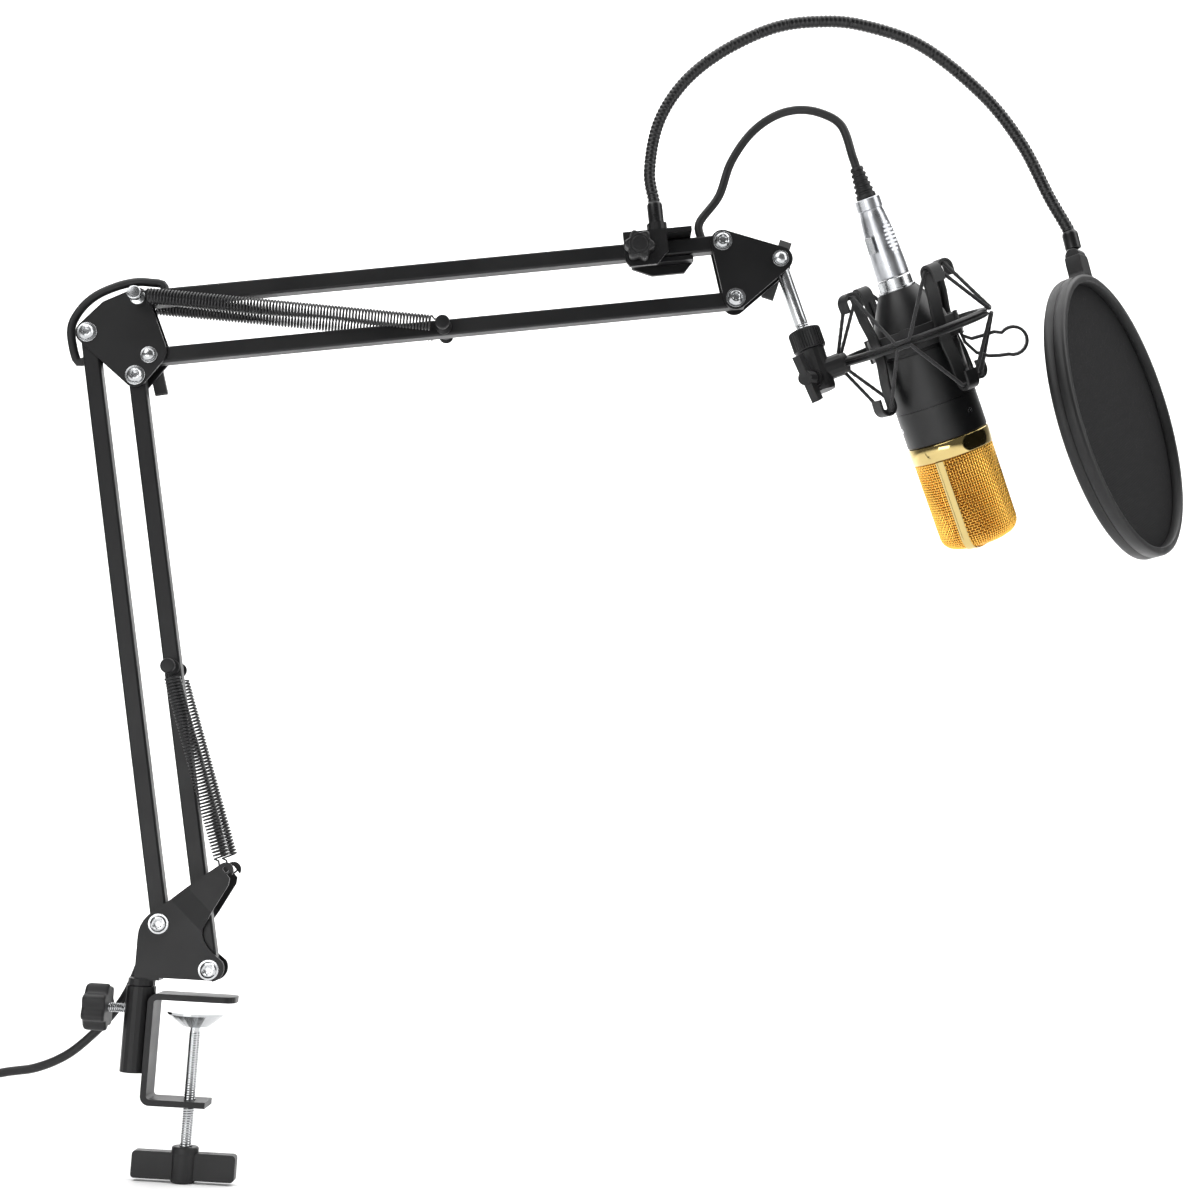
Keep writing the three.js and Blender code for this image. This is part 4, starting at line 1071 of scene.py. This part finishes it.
def make_elastic(side, word):
    """One elastic cord, hook to hook over the ring, knotted where its ends meet."""

    def at(angle, r, z):
        return Vector(polar(r, radians(angle), z * side))

    route = []
    for a in HOOK_ANGLES:
        route += [at(a - 7, 33.2, HOOK_TOP + 2), at(a, 33.2, HOOK_TOP + 2.4), at(a + 7, 33.2, HOOK_TOP + 2)]
        route += [at(a + 40, RING_R + 1.5, 1.6), at(a + 45, RING_R + 1.4, 1.3)]
        route.append(at(a + 50, RING_R + 1.5, 1.6))
    line = []
    for a, b in zip(route, [*route[1:], route[0]]):
        steps = max(2, int((b - a).length / 1.6))
        line += [a.lerp(b, k / steps) for k in range(steps)]
    shell = Shell()
    path = [MOUNT @ p for p in line]
    shell.tube(path, 1.05 * MM, 8, closed=True, swell=lambda k, d: 1.0 + 0.07 * sin(k * 2.2))
    knot_at = MOUNT @ at(HOOK_ANGLES[0] + 22, 37.5, 17)
    for turn in range(3):
        loop = []
        for angle in round_angles(16):
            spot = Vector(polar(1.5, angle, 0.9 * sin(angle * 2 + turn)))
            loop.append(knot_at + Matrix.Rotation(turn * 1.05, 3, (1, 1, 0)) @ spot * MM)
        shell.tube(loop, 0.9 * MM, 6, closed=True)
    for out in ((2.6, 1.5, 2.0), (2.2, -2.0, 1.2)):
        tip = knot_at + (MOUNT.to_3x3() @ Vector(out)) * 1.6
        shell.tube([knot_at, knot_at.lerp(tip, 0.5), tip], 0.9 * MM, 6)
    made = shell.piece("elastic_cord_" + word, BRAID)
    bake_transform(made)
    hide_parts("elastic_" + word)


make_shock_ring()
make_cradle()
make_elastic(1, "upper")
make_elastic(-1, "lower")


# ---- Microphone ----
BODY_R = 22.8
BODY_TOP = 27.5
BODY_BOTTOM = -58.2
TRIM_R = 23.1
TRIM_TOP = BODY_BOTTOM - GAP
TRIM_BOTTOM = TRIM_TOP - 9.5
GRILLE_R = 22.3
GRILLE_TOP = TRIM_BOTTOM - GAP
GRILLE_END = -121.5
NECK_R = 9.5
STRAP_ANGLE = -127


def make_body():
    inner = BODY_R - 2.2
    seam = -38.0
    profile = [
        (inner, BODY_BOTTOM), (BODY_R - 0.4, BODY_BOTTOM), (BODY_R, BODY_BOTTOM + 0.5),
        (BODY_R, seam - 0.25), (BODY_R - 0.35, seam - 0.12), (BODY_R - 0.35, seam + 0.12),
        (BODY_R, seam + 0.25),
        (BODY_R, -8.3), (BODY_R - 0.35, -8.1), (BODY_R - 0.35, -7.9), (BODY_R - 0.05, -7.7),
        (21.6, 3), (20.4, 9), (14.2, 22), (11.6, BODY_TOP - 0.9), (11.0, BODY_TOP),
        (NECK_R + GAP, BODY_TOP), (NECK_R + GAP, 23), (18, 8), (inner - 0.8, 0), (inner, -8),
        (inner, BODY_BOTTOM),
    ]
    shell = Shell()
    shell.lathe(profile, 128, MOUNT)
    shell.piece("mic_body_shell", ENAMEL, "cradle", ["mic_body"], angle=25)

    screws = Shell()
    for angle in (-60, 60, 180):
        outwards = Matrix.Translation((BODY_R - 0.35, 0, -47)) @ Matrix.Rotation(pi / 2, 4, "Y")
        matrix = local(angle) @ outwards
        head = [(0, 0), (1.5, 0), (1.5, 0.45), (1.1, 0.6), (0.5, 0.6), (0.5, 0.3), (0, 0.3)]
        screws.lathe(head, 24, matrix)
    screws.piece("mic_body_screws", NICKEL, "cradle")

    switches = Shell()
    for z in (-24.5, -31):
        matrix = local(-40) @ Matrix.Translation((0, 0, z))
        switches.box((BODY_R - 1.0, -2.4, -1.1), (BODY_R + 0.12, 2.4, 1.1), matrix)
        switches.box((BODY_R, -0.6, -0.75), (BODY_R + 0.7, 1.6, 0.75), matrix)
    switches.piece("mic_body_switches", PLASTIC, "cradle", bevel=0.12 * MM)


def make_connector():
    shell = Shell()
    ring = [(8.2, 23.4), (9.5, 23.4), (9.5, 33.9), (9.0, 34.5), (8.2, 34.5)]
    shell.lathe(loop_of(ring), 64, MOUNT)
    shell.lathe(rounded([(9.3, 27.6), (10.6, 27.6), (10.6, 28.9), (9.3, 28.9)], 0.3), 64, MOUNT)
    shell.piece("connector_sleeve", NICKEL, "cradle", ["connector_ring"])


def make_trim():
    shell = Shell()
    ring = [
        (TRIM_R - 2.6, TRIM_BOTTOM), (TRIM_R - 0.5, TRIM_BOTTOM), (TRIM_R, TRIM_BOTTOM + 0.5),
        (TRIM_R, TRIM_TOP - 0.5), (TRIM_R - 0.5, TRIM_TOP), (TRIM_R - 2.6, TRIM_TOP),
    ]
    shell.lathe(loop_of(ring), 160, MOUNT)
    shell.piece("trim_ring_band", GOLD, "cradle", ["trim_ring"], angle=50)


def grille_outline(out):
    """Radius and height from the grille's open top to the middle of its end."""
    corner = 8.0
    bulge = 1.6
    wall = GRILLE_R - 0.4 + out
    end = GRILLE_END - out
    points = [(GRILLE_R + out, GRILLE_TOP)]
    for k in range(1, 13):
        t = k / 12
        points.append((GRILLE_R + out - 0.4 * t, GRILLE_TOP + (end + corner + bulge - GRILLE_TOP) * t))
    for k in range(1, 9):
        a = k / 8 * pi / 2 * 0.9
        points.append((wall - corner * (1 - cos(a)), end + bulge + corner * (1 - sin(a))))
    for k in range(1, 8):
        r = points[20][0] * (1 - k / 7)
        points.append((r, end + bulge * (r / 14) ** 2 * 0.7))
    return points


def outline_at(points, share):
    """A point part of the way along an outline, and the length of the whole."""
    lengths = [0.0]
    for a, b in zip(points, points[1:]):
        lengths.append(lengths[-1] + dist(a, b))
    at = share * lengths[-1]
    k = 0
    while k < len(points) - 2 and lengths[k + 1] < at:
        k += 1
    t = (at - lengths[k]) / (lengths[k + 1] - lengths[k])
    a, b = points[k], points[k + 1]
    return (a[0] + (b[0] - a[0]) * t, a[1] + (b[1] - a[1]) * t)


WIRE_R = 0.3
WIRES_ROUND = 92
WIRE_ROWS = 42
WOVEN = 0.84  # The share of the outline that the wires down the side cover.


def make_grille():
    """Woven wire: rows round the head and wires down it that pass over and under them."""
    outline = grille_outline(-WIRE_R)
    shell = Shell()
    rows = [outline_at(outline, WOVEN * (k + 0.5) / WIRE_ROWS) for k in range(WIRE_ROWS)]
    for k, (r, z) in enumerate(rows):
        loop = []
        for i in range(WIRES_ROUND * 2):
            angle = pi * i / WIRES_ROUND
            weave = WIRE_R * 0.8 * cos(pi * (i + k))
            loop.append(MOUNT @ Vector(polar(r + weave, angle, z)))
        shell.tube(loop, WIRE_R * MM, 5, closed=True)
    for i, angle in enumerate(round_angles(WIRES_ROUND)):
        line = []
        for k in range(WIRE_ROWS * 2 + 1):
            r, z = outline_at(outline, WOVEN * k / (2 * WIRE_ROWS))
            weave = WIRE_R * 0.8 * sin(pi * (k / 2 + i))
            line.append(MOUNT @ Vector(polar(r - weave, angle, z)))
        shell.tube(line, WIRE_R * MM, 5)
    # The middle of the end: straight wires across, because the wires down the side would crowd there.
    reach = outline_at(outline, WOVEN)[0]
    count = 11
    for across in (0, 1):
        for k in range(-count + 1, count):
            offset = reach * k / count
            half = sqrt(max(reach**2 - offset**2, 0.0))
            line = []
            for i in range(13):
                t = -half + 2 * half * i / 12
                r = hypot(t, offset)
                z = GRILLE_END + WIRE_R + 1.6 * (r / 14) ** 2 * 0.7 + WIRE_R * (0.5 if across else -0.3)
                spot = (offset, t, z) if across else (t, offset, z)
                line.append(MOUNT @ Vector(spot))
            shell.tube(line, WIRE_R * MM, 5)
    shell.piece("head_grille_weave", WIRE, "cradle", ["head_grille"])

    lining = Shell()
    lining.lathe(grille_outline(-1.5), 96, MOUNT)
    lining.piece("head_grille_lining", GAUZE, "cradle")


def make_strap():
    """The polished strap that runs down one side, over the end and up the other."""
    shell = Shell()
    outer = grille_outline(1.0)
    inner = grille_outline(0.35)
    half = 2.4
    flat = half - 0.3
    rings = []
    for k in range(61):
        ro, zo = outline_at(outer, k / 60)
        ri, zi = outline_at(inner, k / 60)
        r = (ro + ri) / 2
        z = (zo + zi) / 2
        rings.append([
            (ro, flat, zo), (ro, -flat, zo), (r, -half, z),
            (ri, -flat, zi), (ri, flat, zi), (r, half, z),
        ])
    for turn in (0, 180):
        shell.rings(rings, matrix=local(STRAP_ANGLE + turn))
    shell.piece("grille_strap_band", GOLD, "cradle", ["grille_strap"], angle=50)


make_body()
make_connector()
make_trim()
make_grille()
make_strap()


# ---- Plug and boot at the microphone ----
PLUG_BOTTOM = 34.8
PLUG_TOP = 80
LATCH_ANGLE = 215
GRIP_ANGLE = 295


def make_plug():
    pocket_low = 50
    pocket_high = 60

    def pocket(angle, r, height):
        """The recess under the latch button."""
        away = abs(angle - radians(LATCH_ANGLE))
        inside = away < 0.31 and pocket_low < height < pocket_high
        return min(r, 7.7) if inside else r

    shell = Shell()
    outer = [
        (7.4, PLUG_BOTTOM), (8.9, PLUG_BOTTOM), (9.2, 35.3), (9.1, 42), (8.9, 46),
        (8.73, pocket_low), (8.72, pocket_low + 0.1), (8.31, pocket_high - 0.1), (8.3, pocket_high),
        (7.2, 69.5),
        (6.6, 73.2), (6.7, 73.6), (7.1, 73.9), (7.1, PLUG_TOP - 0.4), (6.7, PLUG_TOP),
    ]
    inner = [(3.4, PLUG_TOP), (3.4, 66), (7.4, 60)]
    shell.lathe(loop_of(outer + inner), 96, MOUNT, pocket)
    for k in range(9):
        z = 47 + 2.2 * k
        r = 9.0 - 0.035 * (z - 40)
        matrix = local(GRIP_ANGLE) @ Matrix.Translation((r - 0.35, 0, z))
        width = 3.4 * sin(pi * (k + 1.5) / 11)
        shell.box((-0.4, -width, -0.6), (0.65, width, 0.6), matrix)
    shell.piece("plug_shell_body", SILVER, "cradle", ["plug_shell"], angle=30)

    boot = Shell()
    low = PLUG_TOP + GAP
    profile = [(2.5, low), (5.3, low), (5.5, low + 0.6)]
    for k in range(5):
        z = low + 2.4 + 2.9 * k
        r = 5.3 - 0.33 * k
        profile += [(r, z), (r - 0.75, z + 0.5), (r - 0.75, z + 1.3), (r - 0.1, z + 1.8)]
    profile += [(3.5, BOOT_TOP - 0.4), (3.1, BOOT_TOP), (2.5, BOOT_TOP)]
    boot.lathe(loop_of(profile), 48, MOUNT)
    boot.piece("plug_boot_sleeve", RUBBER, "cradle", ["plug_boot"])


make_plug()


# ---- Pop filter ----
NECK_PIVOT = pivot("pop_tilt")
HOOP_X = axis_of("pop_tilt")
HOOP_CENTRE = mm(469.5, -32, 336)
HOOP_Y = (NECK_PIVOT - HOOP_CENTRE).normalized()
HOOP_Z = HOOP_X.cross(HOOP_Y)
HOOP = placed(HOOP_CENTRE, HOOP_X, HOOP_Y, HOOP_Z)
SCREEN_R = 73.9
SLEEVE = pivot("pop_swing")
SLEEVE_UP = axis_of("pop_swing")
GOOSE_R = 3.3


def make_gooseneck():
    neck_top = HOOP_CENTRE + HOOP_Y * (94.3 * MM)
    route = [
        SLEEVE,
        SLEEVE + SLEEVE_UP * 12 * MM,
        mm(213.5, -11, 464),
        mm(217, -13, 491),
        mm(229.6, -15, 514),
        mm(250, -17, 532.5),
        mm(277, -20, 546.5),
        mm(301.5, -22, 551),
        mm(326, -24, 549.6),
        mm(359, -26.5, 538.4),
        mm(392.5, -29, 512),
        mm(414.5, -30.5, 484.7),
        mm(430, -31.5, 455.7),
        neck_top + HOOP_Y * 10 * MM,
        neck_top,
    ]
    path = even(through(route, 16), 0.00042)
    pitch = 0.0024

    def ribs(_, distance):
        phase = (distance / pitch) % 1.0
        return 0.86 + 0.16 * sin(pi * phase) ** 0.6

    shell = Shell()
    shell.tube(path, GOOSE_R * MM, 14, swell=ribs)
    shell.piece("gooseneck_tube", NECK, "pop_neck", ["gooseneck"], angle=60)

    sleeves = Shell()
    for start, end in ((route[0], route[1]), (route[-1], route[-2])):
        height = (end - start).length / MM
        profile = rounded([(0, 0), (4.3, 0), (4.3, height - 1.5), (3.6, height), (0, height)], 0.5)
        sleeves.lathe(profile, 32, facing(start, end - start))
    sleeves.piece("gooseneck_sleeves", NECK, "pop_neck")


def make_hoop():
    shell = Shell()
    profile = [
        (74, -6), (76.3, -6), (77.6, -5.2), (78, -4), (78, -0.35), (77.6, 0), (78, 0.35), (78, 4),
        (77.6, 5.2), (76.3, 6), (74, 6), (73.4, 5.2), (73.4, 1.2), (74.2, 0.9), (74.2, -0.9), (73.4, -1.2),
        (73.4, -5.2),
    ]
    shell.lathe(loop_of(profile), 180, HOOP)
    shell.piece("pop_hoop_rim", PLASTIC, "pop_frame", ["pop_hoop"], angle=50)

    neck = Shell()
    outline = [(-9, 76.5), (9, 76.5), (7, 79.5), (7, 86), (6.2, 90), (-6.2, 90), (-7, 86), (-7, 79.5)]
    neck.prism(outline, -4.4, 4.4, HOOP)
    knuckle = placed(NECK_PIVOT, HOOP_Y, HOOP_Z, HOOP_X)
    neck.lathe([(0, -5.6), (4.1, -5.6), (4.1, 5.6), (0, 5.6)], 40, knuckle)
    neck.piece("pop_hoop_neck", PLASTIC, "pop_frame", bevel=0.9 * MM)


def make_screen():
    """Two layers of nylon net, each stretched over the hoop."""
    shell = Shell()
    for level in (-0.8, 0.8):
        profile = [(0.01, level * 1.6)]
        for k in range(1, 13):
            profile.append((SCREEN_R * k / 12, level * (1.0 + 0.6 * (1 - (k / 12) ** 2))))
        rings = [[polar(r, a, z) for a in round_angles(96)] for r, z in profile]
        shell.rings(rings, caps=False, matrix=HOOP)
    made = shell.piece("pop_screen_net", NYLON, "pop_frame", ["pop_screen"])


make_gooseneck()
make_hoop()
make_screen()


# ---- Studio ----
def make_studio():
    pale, _ = new_material("studio_white", (0.92, 0.92, 0.92), 0.9)
    shell = Shell()
    half_wide = 9.0
    back = 2.2
    curve = 1.2
    floor = FLOOR_Z - 0.2 * MM
    line = [(-6.0, floor), (back, floor)]
    for k in range(1, 13):
        angle = pi / 2 * k / 12
        line.append((back + curve * sin(angle), floor + curve * (1 - cos(angle))))
    line.append((back + curve, 6.0))
    points = [(x, y, z) for y, z in line for x in (-half_wide, half_wide)]
    faces = [[2 * k, 2 * k + 1, 2 * k + 3, 2 * k + 2] for k in range(len(line) - 1)]
    shell.add(points, faces)
    mesh = bpy.data.meshes.new("studio_sweep")
    mesh.from_pydata([tuple(p) for p in shell.points], [], shell.faces)
    mesh.shade_smooth()
    mesh.materials.append(pale)
    sweep = bpy.data.objects.new("studio_sweep", mesh)
    bpy.context.scene.collection.objects.link(sweep)

    world = bpy.data.worlds.new("studio")
    bpy.context.scene.world = world
    world.use_nodes = True
    background = world.node_tree.nodes["Background"]
    background.inputs["Color"].default_value = (1, 1, 1, 1)
    background.inputs["Strength"].default_value = 0.16


def add_light(name, place, aim, size, power):
    data = bpy.data.lights.new(name, "AREA")
    data.shape = "RECTANGLE"
    data.size, data.size_y = size
    data.energy = power
    light = bpy.data.objects.new(name, data)
    bpy.context.scene.collection.objects.link(light)
    light.location = place
    light.rotation_mode = "QUATERNION"
    light.rotation_quaternion = (Vector(aim) - Vector(place)).to_track_quat("-Z", "Y")


make_studio()
add_light("overhead", (0.2, 0.5, 2.6), (0.2, 0.5, 0), (4.5, 3.0), 118)
add_light("key", (-1.2, -1.4, 1.7), (0.15, 0, 0.3), (1.6, 1.6), 22)
add_light("right_strip", (1.5, -0.5, 0.9), (0.38, 0, 0.36), (0.8, 1.7), 12)
add_light("low_front", (-0.46, -1.3, -0.02), (-0.04, 0, 0.08), (0.9, 0.6), 7)
add_light("backdrop_wash", (0.2, 1.0, 1.7), (0.2, 3.4, 0.9), (5.0, 0.8), 105)
